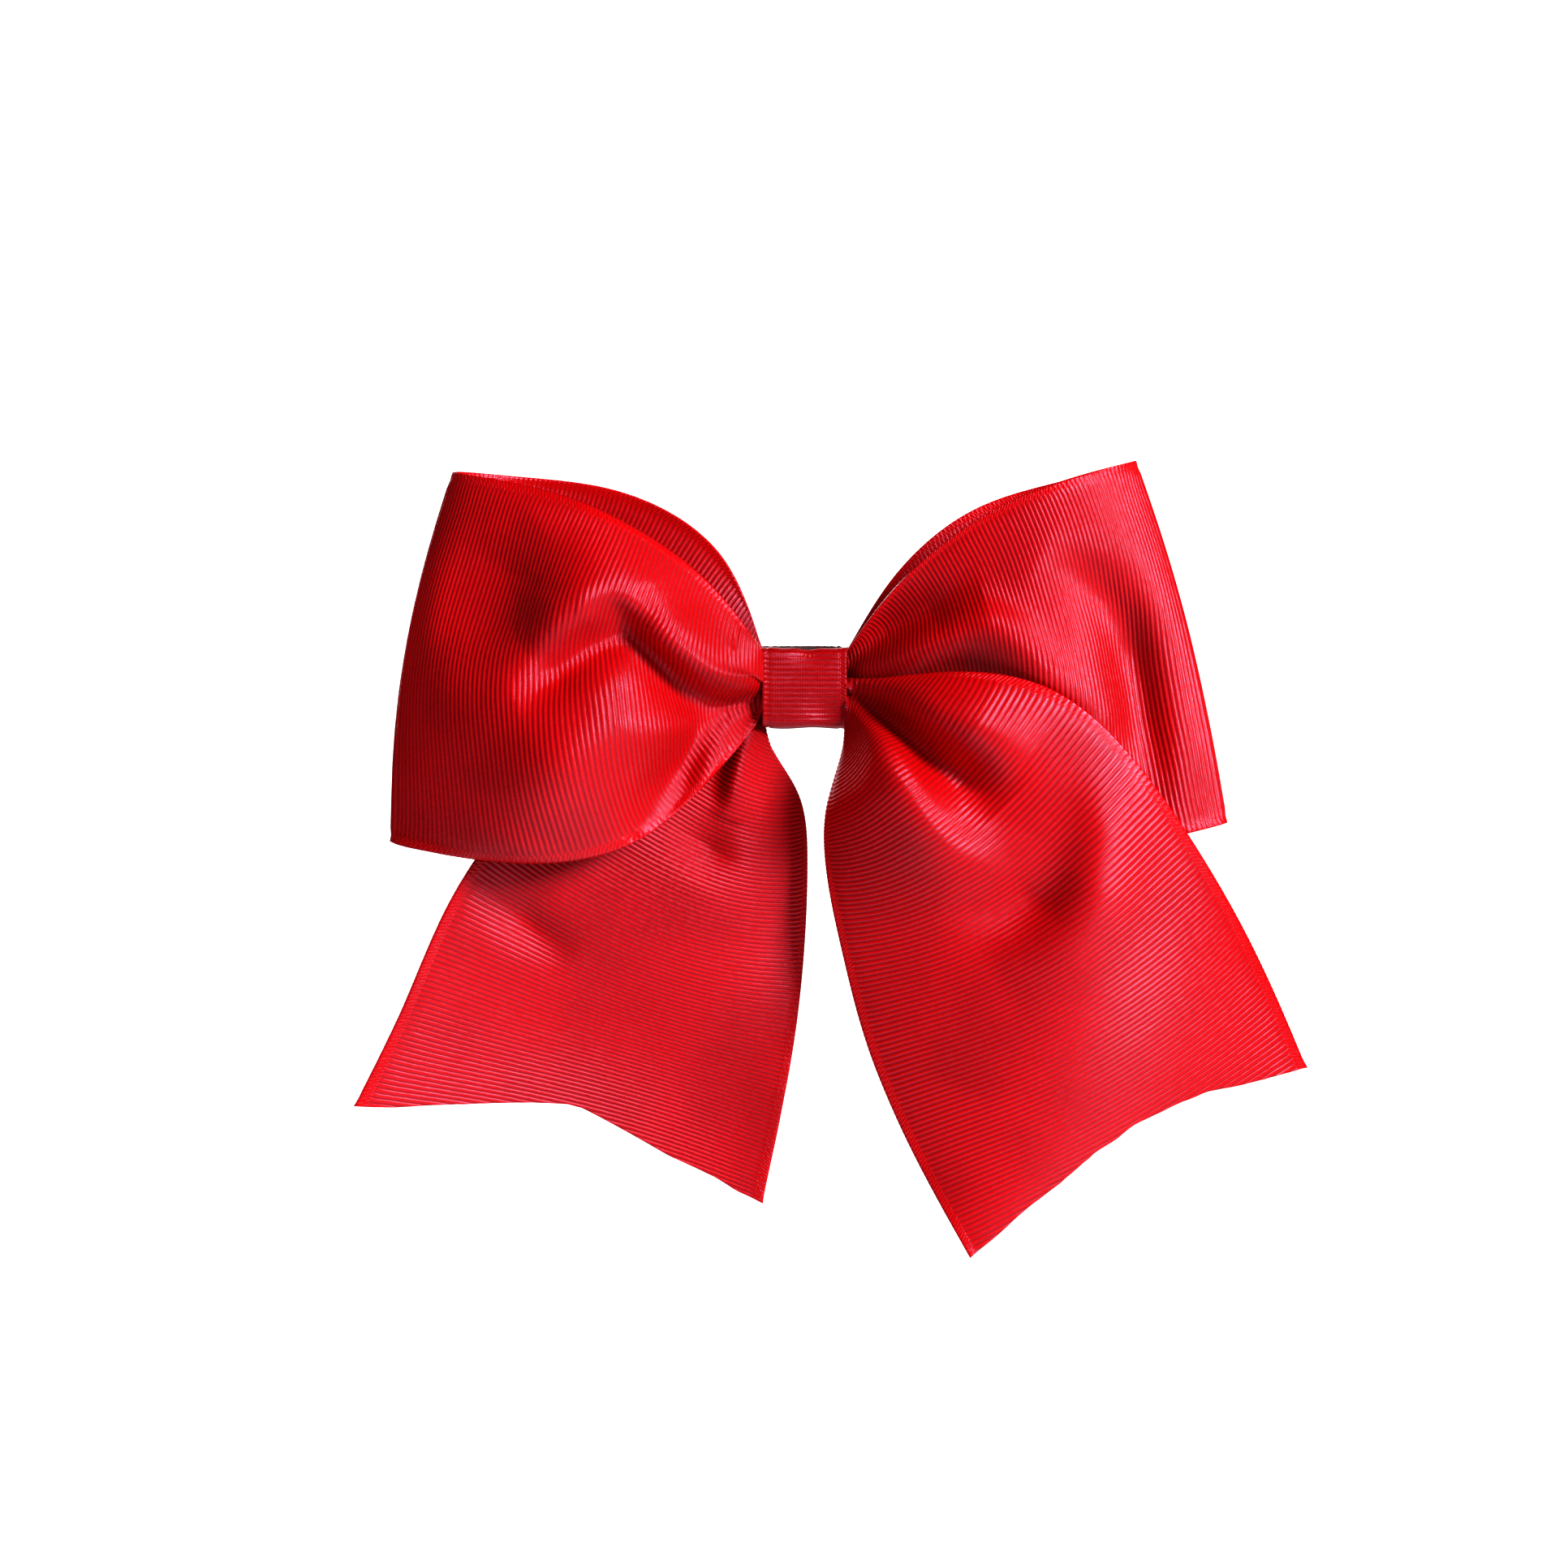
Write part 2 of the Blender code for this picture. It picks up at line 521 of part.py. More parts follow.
def build():
    clear_scene()
    ribbon = material("red_grosgrain", RED, 0.6)
    steel = material("clip_steel", STEEL, 0.3, 1.0)
    spring_steel = material("spring_steel", STEEL, 0.35, 1.0)
    thread = material("red_thread", RED, 0.7)
    glue = material("hot_glue", GLUE_COLOUR, 0.3)
    ribbon_run("left_loop", LEFT_LOOP, LOOP_ALONG, ribbon)
    ribbon_run("right_loop", RIGHT_LOOP, LOOP_ALONG, ribbon)
    ribbon_run("right_tail", RIGHT_TAIL, TAIL_ALONG, ribbon, (ROOT_X, KNOT_Y - 3, KNOT_Z))
    ribbon_run("left_tail", LEFT_TAIL, TAIL_ALONG, ribbon, (-ROOT_X, KNOT_Y, KNOT_Z))
    gathered_knot(ribbon)
    binding_thread(thread)
    centre_wrap(ribbon)
    lap_y = KNOT_Y + KNOT_DEPTH / 2 + FINE_GAP + WRAP + FINE_GAP
    lap = WRAP_HEIGHT / 2 - WRAP - 4.5
    block(
        "wrap_glue",
        (-WRAP_WIDTH / 2 + 1, lap_y, KNOT_Z - lap),
        (WRAP_WIDTH / 2 - 1, lap_y + GAP, KNOT_Z + lap),
        glue,
    )
    block(
        "clip_glue",
        (-7.0, clip_glue_y, -3.6),
        (7.0, clip_glue_y + GLUE, 3.4),
        glue,
        0.3,
    )
    clip_lining(ribbon)
    upper_jaw(steel)
    lower_jaw(steel)
    hinge_pin(steel)
    torsion_spring(spring_steel)


build()
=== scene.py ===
"""Looks of the cheer hair bow: ribbed ribbon with its folds, a stitched edge, and a lined steel clip.

Ribbon shapes are worked out in millimetres from the centre of the knot as (right, forward, up), then
turned into metres in the frame's axes. Each run starts from listed stations, its folds are pressed in
as strokes, and a relaxation then brings the cloth back to its real width and length.
"""

import math

import bmesh
import bpy
import numpy as np
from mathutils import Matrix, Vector


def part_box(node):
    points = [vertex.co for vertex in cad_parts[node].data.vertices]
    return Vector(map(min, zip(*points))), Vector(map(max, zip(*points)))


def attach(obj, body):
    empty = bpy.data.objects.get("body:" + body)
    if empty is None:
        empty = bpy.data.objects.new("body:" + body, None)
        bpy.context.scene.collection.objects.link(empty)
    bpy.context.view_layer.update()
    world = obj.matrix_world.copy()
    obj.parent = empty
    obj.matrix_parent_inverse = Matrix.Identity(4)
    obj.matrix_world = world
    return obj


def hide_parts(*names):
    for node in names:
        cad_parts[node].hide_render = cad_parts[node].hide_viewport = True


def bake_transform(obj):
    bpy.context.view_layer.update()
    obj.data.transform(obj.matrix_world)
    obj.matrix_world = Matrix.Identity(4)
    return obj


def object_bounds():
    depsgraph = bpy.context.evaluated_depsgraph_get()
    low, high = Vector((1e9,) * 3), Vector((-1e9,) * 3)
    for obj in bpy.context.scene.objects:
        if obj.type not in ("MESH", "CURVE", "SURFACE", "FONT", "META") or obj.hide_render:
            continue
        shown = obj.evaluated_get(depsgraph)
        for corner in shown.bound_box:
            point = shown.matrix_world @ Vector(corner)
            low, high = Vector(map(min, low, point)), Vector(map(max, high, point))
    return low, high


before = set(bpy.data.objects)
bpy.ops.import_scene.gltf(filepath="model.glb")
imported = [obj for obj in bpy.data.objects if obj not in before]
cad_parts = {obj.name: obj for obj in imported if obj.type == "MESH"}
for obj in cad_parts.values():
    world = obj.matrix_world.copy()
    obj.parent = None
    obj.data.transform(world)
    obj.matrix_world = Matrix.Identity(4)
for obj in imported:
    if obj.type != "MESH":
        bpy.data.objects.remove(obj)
cad_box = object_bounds()

MM = 0.001
RIBBON_WIDTH = 76.0
RIB_PITCH = 1.0
ROWS_PER_RIB = 4
RIB_HEIGHT = 0.11
STITCH_HEIGHT = 0.05
EDGE_GROOVE = 0.10  # depth of the line between the ribs and the selvedge
RIBBON_HALF = 0.2  # half the thickness between the ribs
SELVEDGE = 1.9
WARP_PITCH = 0.3

# the relaxation of the cloth
CELL = 1.6
ROUNDS = 320
STRETCH_SHARE = 0.9  # of a wrong length that one round puts right
SHEAR_SHARE = 0.25
SLACK_SHARE = 0.08  # how strongly a short edge is pushed out again
BEND = 0.08
EDGE_PULL = 0.25  # towards the given edges
FOLD_PULL = 0.3  # towards the loop's turn
DEPTH_PULL = 0.12  # towards the wanted depth
PINCH_LENGTH = 12.0  # from the knot, where the cloth is fully gathered
GATHER_LENGTH = 45.0  # over which it opens out to its full width
FOLD_FADE = 12.0  # before a loop's turn, where the pressed-in folds end

knot_low, knot_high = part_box("gathered_knot")
KNOT = [(a + b) / 2 / MM for a, b in zip(knot_low, knot_high)]
wrap_low, wrap_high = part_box("centre_wrap")


# ---------------------------------------------------------------- splines

def cubic_through(knots, values, at):
    """A natural cubic spline through rows of values at knots, read at the given parameters."""
    count = len(knots)
    step = np.diff(knots)
    system = np.eye(count)
    right = np.zeros_like(values)
    for i in range(1, count - 1):
        system[i, i - 1:i + 2] = step[i - 1], 2 * (step[i - 1] + step[i]), step[i]
        right[i] = 6 * ((values[i + 1] - values[i]) / step[i] - (values[i] - values[i - 1]) / step[i - 1])
    bend = np.linalg.solve(system, right.reshape(count, -1)).reshape(values.shape)
    cell = np.clip(np.searchsorted(knots, at, side="right") - 1, 0, count - 2)
    shape = (-1,) + (1,) * (values.ndim - 1)
    size = step[cell].reshape(shape)
    after = (at - knots[cell]).reshape(shape)
    before = size - after
    straight = (values[cell] * before + values[cell + 1] * after) / size
    lower = (before ** 3 / size - size * before) * bend[cell] / 6
    upper = (after ** 3 / size - size * after) * bend[cell + 1] / 6
    return straight + lower + upper


def along_line(points, count):
    """Evenly spread points on a smooth line through the given ones."""
    values = np.array(points, float)
    knots = np.concatenate([[0.0], np.cumsum(np.linalg.norm(np.diff(values, axis=0), axis=1))])
    return cubic_through(knots, values, np.linspace(0.0, knots[-1], count))


def refined(grid, rows, cols):
    """The grid read at other rows and columns, given in cells of the old one."""
    step_rows = cubic_through(np.arange(grid.shape[0], dtype=float), grid, rows)
    turned = np.swapaxes(step_rows, 0, 1)
    return np.swapaxes(cubic_through(np.arange(grid.shape[1], dtype=float), turned, cols), 0, 1)


# ---------------------------------------------------------------- folds

def nearest_on(path, x, z):
    """For points (x, z): the share of the way along a path of the nearest point, and its signed distance."""
    path = np.array(path, float)
    starts, ends = path[:-1], path[1:]
    run = ends - starts
    lengths = np.linalg.norm(run, axis=1)
    before = np.concatenate([[0.0], np.cumsum(lengths)])
    best = np.full(x.shape, 1e9)
    where = np.zeros(x.shape)
    side = np.zeros(x.shape)
    for k in range(len(run)):
        off_x, off_z = x - starts[k, 0], z - starts[k, 1]
        t = np.clip((off_x * run[k, 0] + off_z * run[k, 1]) / lengths[k] ** 2, 0.0, 1.0)
        gap_x, gap_z = off_x - t * run[k, 0], off_z - t * run[k, 1]
        distance = np.hypot(gap_x, gap_z)
        closer = distance < best
        best = np.where(closer, distance, best)
        where = np.where(closer, (before[k] + t * lengths[k]) / before[-1], where)
        turn = run[k, 0] * off_z - run[k, 1] * off_x
        side = np.where(closer, np.sign(turn), side)
    return where, best * side


def stroke_height(stroke, x, z):
    """The forward push of a fold stroke: its path, and the heights and the side widths along it."""
    path, heights, left, right = stroke
    t, off = nearest_on(along_line(path, 5 * len(path)), x, z)
    height, left, right = (
        np.interp(t, np.linspace(0.0, 1.0, len(marks)), marks) for marks in (heights, left, right)
    )
    return height * np.exp(-((off / np.where(off > 0, left, right)) ** 2))


# ---------------------------------------------------------------- relaxation

def hold_length(a, b, rest, share):
    """Move both ends of each edge towards its rest length; cloth resists stretch far more than slack."""
    gap = b - a
    length = np.linalg.norm(gap, axis=-1, keepdims=True)
    excess = 1 - rest[..., None] / np.maximum(length, 1e-6)
    move = share * 0.5 * np.where(excess < 0, SLACK_SHARE * excess, excess) * gap
    a += move
    b -= move


def along_rows(points, rest, share):
    for start in (0, 1):
        a, b = points[start:-1:2], points[start + 1::2]
        hold_length(a, b, rest[start::2], share)


def along_diagonals(points, rest, share):
    for start in (0, 1):
        first, second = points[start:-1:2], points[start + 1::2]
        span = rest[start::2]
        hold_length(first[:, :-1], second[:, 1:], span, share)
        hold_length(first[:, 1:], second[:, :-1], span, share)


def smoothed(points, share):
    """Bending stiffness: pull each point towards the middle of its neighbours."""
    inner = points[1:-1]
    inner += share * ((points[:-2] + points[2:]) / 2 - inner)
    across = points[:, 1:-1]
    across += share * ((points[:, :-2] + points[:, 2:]) / 2 - across)


def relax(points, rest_u, rest_v, pull):
    """Bring a grid back to its rest lengths, with pull() setting what must stay where it is."""
    diagonal = np.hypot((rest_u[:, :-1] + rest_u[:, 1:]) / 2, (rest_v[:-1] + rest_v[1:]) / 2)
    for turn in range(ROUNDS):
        along_rows(points, rest_u, STRETCH_SHARE)
        along_rows(np.swapaxes(points, 0, 1), rest_v.T, STRETCH_SHARE)
        along_diagonals(points, diagonal, SHEAR_SHARE)
        smoothed(points, BEND)
        pull(points, turn)


def ironed(points, share):
    """Smooth out the tiny crinkles the relaxation leaves where the cloth is gathered, row by row."""
    weight = 0.6 * share[1:-1, None, None]
    for _ in range(8):
        around = (points[:-2, 1:-1] + points[2:, 1:-1] + points[1:-1, :-2] + points[1:-1, 2:]) / 4
        points[1:-1, 1:-1] += weight * (around - points[1:-1, 1:-1])
        for edge in (0, -1):
            line = points[:, edge]
            line[1:-1] += weight[:, 0] * ((line[:-2] + line[2:]) / 2 - line[1:-1])


# ---------------------------------------------------------------- ribbon runs

def parabola(low, mid, top, v):
    """The parabola through three points, read at shares v of the way across."""
    return low * (1 - v) * (1 - 2 * v) + mid * 4 * v * (1 - v) + top * v * (2 * v - 1)


def station_surface(stations, rows, cols):
    """A first surface: a parabola across each station, a cubic spline from station to station."""
    net = np.array(stations, float)
    chords = np.linalg.norm(np.diff(net, axis=0), axis=2).mean(axis=1)
    knots = np.concatenate([[0.0], np.cumsum(chords)])
    at = np.linspace(0.0, knots[-1], rows + 1)
    lines = cubic_through(knots, net, at)
    low, mid, top = (lines[:, k][:, None, :] for k in range(3))
    return parabola(low, mid, top, np.linspace(0.0, 1.0, cols + 1)[None, :, None])


def root_section(x, pleats, cols):
    """The pinched section at the knot's side, from (share across, forward, up) marks."""
    marks = np.array(pleats, float)
    at = np.linspace(0.0, 1.0, cols + 1)
    return np.stack([
        np.full(cols + 1, x),
        cubic_through(marks[:, 0], marks[:, 1], at),
        cubic_through(marks[:, 0], marks[:, 2], at),
    ], axis=-1)


def line_length(points):
    return np.linalg.norm(np.diff(points, axis=0), axis=1).sum()


def pushes(strokes, x, z):
    return sum((stroke_height(stroke, x, z) for stroke in strokes), np.zeros(x.shape))


def front_fade(spec, u):
    """Folds are pressed into a loop's front panel only: 1 there, falling to 0 before the turn."""
    if not spec["loop"]:
        return np.ones((len(u), 1))
    turn = spec["length"] * spec["front_share"]
    return np.clip((turn - u) / FOLD_FADE, 0.0, 1.0)[:, None]


def rest_widths(points, ends):
    """Rest widths across each row: the ribbon's own, but only what is laid out where it is gathered."""
    natural = np.linalg.norm(np.diff(points, axis=1), axis=2)
    rest_v = np.full(natural.shape, RIBBON_WIDTH / natural.shape[1])
    for _, away in ends:
        open_share = np.clip((away - PINCH_LENGTH) / GATHER_LENGTH, 0.0, 1.0)[:, None]
        open_share = open_share * open_share * (3 - 2 * open_share)
        rest_v = np.minimum(rest_v, natural * (1 - open_share) + rest_v * open_share)
    return rest_v


def rest_lengths(spec, rows, cols, bend_row):
    """Rest lengths along each column, with those of a loop's front and back worked out separately."""
    stations = np.array(spec["stations"], float)
    turn_at = spec.get("fold_station", len(stations) - 1)
    spans = [(0, bend_row, 0, turn_at)]
    if spec["loop"]:
        spans.append((bend_row, rows, turn_at, len(stations) - 1))
    rest_u = np.zeros((rows, cols + 1))
    for first, last, start, stop in spans:
        low, top = (
            line_length(along_line(stations[:, k], 400)) * line_length(stations[start:stop + 1, k])
            / line_length(stations[:, k]) for k in (0, 2)
        )
        rest_u[first:last] = np.linspace(low, top, cols + 1) / (last - first)
    return rest_u


def ribbon_shape(spec):
    """The relaxed middle surface of a run on a CELL grid."""
    stations, strokes = spec["stations"], spec["strokes"]
    rows, cols = round(spec["length"] / CELL), round(RIBBON_WIDTH / CELL)
    points = station_surface(stations, rows, cols)
    base_forward = points[..., 1].copy()
    along = np.linspace(0.0, spec["length"], rows + 1)
    ends = [(0, along)]
    if spec["loop"]:
        ends.append((rows, along[::-1]))
    roots = [root_section(points[0, 0, 0], marks, cols) for marks in spec["roots"]]
    fade = front_fade(spec, along)
    points[..., 1] += pushes(strokes, points[..., 0], points[..., 2]) * fade
    for (row, away), root in zip(ends, roots):
        near = np.exp(-((away / 8.0) ** 2))[:, None, None]
        points += (root - points[row])[None, :, :] * near
    edges = [along_line([s[k] for s in stations], 6 * rows) for k in (0, 2)]
    bend_row = round(rows * spec.get("front_share", 1.0))
    turn_at = spec.get("fold_station", len(stations) - 1)
    low, mid, top = (np.array(p, float) for p in stations[turn_at])
    fold = parabola(low, mid, top, np.linspace(0, 1, 60)[:, None])
    wanted = base_forward.copy()

    def pull_to(line, target, share):
        gaps = np.linalg.norm(line[:, None, :] - target[None, :, :], axis=2)
        line += share * (target[gaps.argmin(axis=1)] - line)

    def pull(grid, turn):
        for column, edge in zip((0, cols), edges):
            pull_to(grid[:, column], edge, EDGE_PULL)
        pull_to(grid[bend_row], fold, FOLD_PULL)
        if turn % 4 == 0:
            wanted[:] = base_forward + pushes(strokes, grid[..., 0], grid[..., 2]) * fade
        grid[..., 1] += DEPTH_PULL * (wanted - grid[..., 1])
        if "keep_clear" in spec and turn % 50 == 49:
            spec["keep_clear"](grid)
        for (row, _), root in zip(ends, roots):
            grid[row] = root

    relax(points, rest_lengths(spec, rows, cols, bend_row), rest_widths(points, ends), pull)
    for _, away in ends:
        ironed(points, np.exp(-(((away - 10.0) / 7.0) ** 2)))
    return points


def cut_line(cut, v):
    """The scissor cut's distance from the square end, straight between its marks."""
    marks = np.array(cut, float)
    return np.interp(v, marks[:, 0], marks[:, 1])


def fine_grid(shape, spec, u, v):
    """The relaxed surface read finely, with its strokes as sharp as they were drawn."""
    at_u, at_v = u / spec["length"] * (shape.shape[0] - 1), v * (shape.shape[1] - 1)
    grid = refined(shape, at_u, at_v)
    if "strokes" in spec:
        coarse = pushes(spec["strokes"], shape[..., 0], shape[..., 2])[..., None]
        lost = pushes(spec["strokes"], grid[..., 0], grid[..., 2]) - refined(coarse, at_u, at_v)[..., 0]
        grid[..., 1] += lost * front_fade(spec, u)
    return grid


def cloth_skins(grid, u, from_edge, selvedge, rib_height):
    """The front and back skins: ribs across the cloth, a flat stitched edge and a fine groove beside it."""
    normal = np.cross(np.gradient(grid, axis=0), np.gradient(grid, axis=1))
    normal /= np.maximum(np.linalg.norm(normal, axis=2, keepdims=True), 1e-9)
    turns = 2 * math.pi * u / RIB_PITCH
    rib = np.cos(turns)[:, None]
    stitch = np.cos(turns + math.pi / 2)[:, None]
    inside = np.clip((from_edge - selvedge + 0.3) / 0.6, 0.0, 1.0)
    relief = rib_height * rib * inside + STITCH_HEIGHT * stitch * (1 - inside)
    relief = relief - EDGE_GROOVE * np.exp(-(((from_edge - selvedge + 0.2) / 0.35) ** 2))
    half = (RIBBON_HALF + relief)[..., None] * normal
    return [grid + half, grid - half]


def cut_off(skins, limit, u):
    """Slide the points past the scissor cut back onto it, and say which ones are before it."""
    keep = u[:, None] < limit[None, :] - 1e-6
    step = limit / u[-1] * (len(u) - 1)
    row = np.minimum(step.astype(int), len(u) - 2)
    share = (step - row)[:, None]
    column = np.arange(len(limit))
    for skin in skins:
        end = skin[row, column] * (1 - share) + skin[row + 1, column] * share
        skin[~keep] = np.broadcast_to(end, skin.shape)[~keep]
    return keep


def cloth_faces(keep):
    """Quads of the front skin and of the back skin, and of the rim that joins them."""
    rows, cols = keep.shape[0] - 1, keep.shape[1] - 1
    count = keep.size
    index = np.arange(count).reshape(keep.shape)
    cells = keep[:-1, :-1] | keep[:-1, 1:]
    a, b = index[:-1, :-1][cells], index[1:, :-1][cells]
    c, d = index[1:, 1:][cells], index[:-1, 1:][cells]
    faces = [np.stack([a, b, c, d], axis=1), np.stack([a, d, c, b], axis=1) + count]
    padded = np.zeros((rows + 2, cols + 2), bool)
    padded[1:-1, 1:-1] = cells
    # each side of a cell: its first corner, its second corner, and the step to the cell beyond it
    sides = (
        ((0, 0), (1, 0), (0, -1)), ((1, 1), (0, 1), (0, 1)),
        ((0, 1), (0, 0), (-1, 0)), ((1, 0), (1, 1), (1, 0)),
    )
    for (i0, j0), (i1, j1), (di, dj) in sides:
        i, j = np.nonzero(cells & ~padded[1 + di:rows + 1 + di, 1 + dj:cols + 1 + dj])
        first, second = index[i + i0, j + j0], index[i + i1, j + j1]
        faces.append(np.stack([second, first, first + count, second + count], axis=1))
    return np.concatenate(faces)


def quad_mesh(name, world, faces, flat):
    """A smooth mesh of quads whose "ribbon" map holds each point's place on the flat cloth, in metres."""
    mesh = bpy.data.meshes.new(name)
    mesh.vertices.add(len(world))
    mesh.vertices.foreach_set("co", world.astype(np.float32).ravel())
    mesh.loops.add(faces.size)
    mesh.loops.foreach_set("vertex_index", faces.astype(np.int32).ravel())
    mesh.polygons.add(len(faces))
    mesh.polygons.foreach_set("loop_start", np.arange(0, faces.size, 4, dtype=np.int32))
    mesh.polygons.foreach_set("loop_total", np.full(len(faces), 4, dtype=np.int32))
    mesh.update(calc_edges=True)
    mesh.validate()
    layer = mesh.uv_layers.new(name="ribbon")
    layer.data.foreach_set("uv", flat[faces.ravel()].astype(np.float32).ravel())
    mesh.shade_smooth()
    return mesh


def placed(name, mesh, material):
    made = bpy.data.objects.new(name, mesh)
    bpy.context.scene.collection.objects.link(made)
    mesh.materials.append(material)
    return made


def ribbon_mesh(name, shape, spec, material):
    """The fine cloth: ribs across, flat stitched edges, a real thickness and the scissor cut."""
    length, width = spec["length"], spec.get("width", RIBBON_WIDTH)
    selvedge, cut = spec.get("selvedge", SELVEDGE), spec.get("cut")
    u = np.linspace(0.0, length, int(round(length / RIB_PITCH)) * ROWS_PER_RIB + 1)
    margin = selvedge / width
    edge = np.linspace(0.0, margin, 5)[:-1]
    v = np.concatenate([edge, np.linspace(margin, 1 - margin, spec.get("cols", 64) - 7), 1 - edge[::-1]])
    from_edge = np.minimum(v, 1 - v)[None, :] * width
    grid = fine_grid(shape, spec, u, v)
    skins = cloth_skins(grid, u, from_edge, selvedge, spec.get("rib_height", RIB_HEIGHT))
    keep = np.ones((len(u), len(v)), bool)
    if cut is not None:
        keep = cut_off(skins, np.minimum(cut_line(cut, v) + length, length), u)
    right, forward, up = np.concatenate([skin.reshape(-1, 3) for skin in skins]).T
    world = np.stack([KNOT[0] + right, KNOT[1] - forward, KNOT[2] + up], axis=-1) * MM
    flat = np.stack([np.repeat(u, len(v)), np.tile(v * width, len(u))], axis=-1) * MM
    mesh = quad_mesh(name, world, cloth_faces(keep), np.concatenate([flat, flat]))
    made = placed(name, mesh, material)
    work = bmesh.new()
    work.from_mesh(mesh)
    loose = [vert for vert in work.verts if not vert.link_faces]
    bmesh.ops.delete(work, geom=loose, context="VERTS")
    if cut is not None:
        bmesh.ops.remove_doubles(work, verts=work.verts[:], dist=1e-7)
    work.to_mesh(mesh)
    work.free()
    return made


CLEAR_REACH = 2.2  # sideways, within which a point of the layer behind counts
CLEAR_GAP = 1.2


def clear_in_front(other):
    """A function that keeps a grid at least CLEAR_GAP in front of another one, where they overlap."""
    below = other.reshape(-1, 3)

    def keep(grid):
        flat = grid[2:].reshape(-1, 3)
        for start in range(0, len(flat), 512):
            part = flat[start:start + 512]
            off = np.hypot(part[:, None, 0] - below[None, :, 0], part[:, None, 2] - below[None, :, 2])
            under = np.where(off < CLEAR_REACH, below[None, :, 1], -1e9).max(axis=1)
            part[:, 1] = np.maximum(part[:, 1], under + CLEAR_GAP)
    return keep


# ---------------------------------------------------------------- materials

class Nodes:
    """Short forms for building a material's node tree."""

    def __init__(self, name):
        self.material = bpy.data.materials.new(name)
        self.material.use_nodes = True
        self.tree = self.material.node_tree
        self.shader = self.tree.nodes["Principled BSDF"]

    def link(self, value, socket):
        if isinstance(value, (int, float, tuple)):
            socket.default_value = value
        else:
            self.tree.links.new(value, socket)

    def add(self, kind, result=0, settings=None, **inputs):
        node = self.tree.nodes.new(kind)
        for key, value in (settings or {}).items():
            setattr(node, key, value)
        for key, value in inputs.items():
            self.link(value, node.inputs[int(key[2:])] if key.startswith("in") else node.inputs[key])
        return node.outputs[result]

    def math(self, operation, first, second=0.0, third=0.0):
        return self.add("ShaderNodeMath", 0, {"operation": operation}, in0=first, in1=second, in2=third)

    def ramp(self, value, low, high, start=0.0, end=1.0):
        """A smooth step of a value from one range to another."""
        return self.add("ShaderNodeMapRange", 0, {"interpolation_type": "SMOOTHSTEP"}, in0=value, in1=low,
                        in2=high, in3=start, in4=end)

    def noise(self, where, scale, detail=2.0):
        return self.add("ShaderNodeTexNoise", 0, Vector=where, Scale=scale, Detail=detail)

    def mix(self, share, first, second):
        """Two colours mixed by a share from 0 to 1."""
        node = self.tree.nodes.new("ShaderNodeMix")
        node.data_type = "RGBA"
        self.link(share, node.inputs[0])
        self.link(first, node.inputs[6])
        self.link(second, node.inputs[7])
        return node.outputs[2]

    def bump(self, height, distance, strength=1.0):
        return self.add("ShaderNodeBump", 0, None, Height=height, Distance=distance, Strength=strength)


def grosgrain(name, width, selvedge=SELVEDGE, depth=1.0):
    """Red ribbed ribbon: painted shade between the ribs, fine warp threads, a stitched edge and a satin
    gloss.
    """
    n = Nodes(name)
    flat_place = n.add("ShaderNodeUVMap", 0, {"uv_map": "ribbon"})
    along, across = (n.add("ShaderNodeSeparateXYZ", k, Vector=flat_place) for k in range(2))
    turns = n.math("MULTIPLY", along, 2 * math.pi / (RIB_PITCH * MM))
    crest = n.math("MULTIPLY_ADD", n.math("COSINE", turns), 0.5, 0.5)
    from_edge = n.math("MINIMUM", across, n.math("SUBTRACT", width * MM, across))
    body = n.ramp(from_edge, (selvedge - 0.25) * MM, (selvedge + 0.1) * MM)
    place = n.add("ShaderNodeTexCoord", 3)
    cloudy = n.noise(place, 55.0, 3.0)
    slub = n.noise(n.add("ShaderNodeCombineXYZ", 0, X=n.math("MULTIPLY", along, 2600.0),
                         Y=n.math("MULTIPLY", across, 700.0)), 1.0, 2.0)
    warp = n.math("SINE", n.math("MULTIPLY", across, 2 * math.pi / (WARP_PITCH * MM)))
    slant = n.math("MULTIPLY", from_edge, 5200.0)
    zigzag = n.math("SINE", n.math("ADD", n.math("MULTIPLY", turns, 1.5), slant))
    stitch = n.math("MULTIPLY", n.ramp(zigzag, -0.2, 0.6), n.math("SUBTRACT", 1.0, body))
    # painted shade: the red darkens in the grooves between the ribs, which are also made rougher
    groove_shade_share = n.math("MULTIPLY", n.math("SUBTRACT", 1.0, crest), body)
    # depth scales the whole red down; below 1 it is painted shadow, as on the band round the knot
    face = n.mix(n.ramp(cloudy, 0.3, 0.7), (0.50 * depth, 0.0010, 0.0022, 1.0),
                 (0.66 * depth, 0.0016, 0.0034, 1.0))
    colour = n.mix(n.math("MULTIPLY", groove_shade_share, 0.8), face, (0.24, 0.0004, 0.0010, 1.0))
    colour = n.mix(n.math("MULTIPLY", n.ramp(slub, 0.35, 0.75), 0.25), colour, (0.42, 0.0008, 0.002, 1.0))
    colour = n.mix(n.math("MULTIPLY", stitch, 0.45), colour, (0.30, 0.0006, 0.0015, 1.0))
    n.link(colour, n.shader.inputs["Base Color"])
    rough = n.math("MULTIPLY_ADD", n.ramp(slub, 0.2, 0.8), 0.12, 0.20)
    n.link(n.math("MULTIPLY_ADD", groove_shade_share, 0.2, rough), n.shader.inputs["Roughness"])
    height = n.math("MULTIPLY_ADD", warp, 0.25, slub)
    height = n.math("SUBTRACT", height, n.math("MULTIPLY", stitch, 1.2))
    n.link(n.bump(height, 0.00006, 0.8), n.shader.inputs["Normal"])
    n.shader.inputs["Specular IOR Level"].default_value = 0.58
    n.shader.inputs["Specular Tint"].default_value = (1.0, 0.68, 1.0, 1.0)
    return n.material


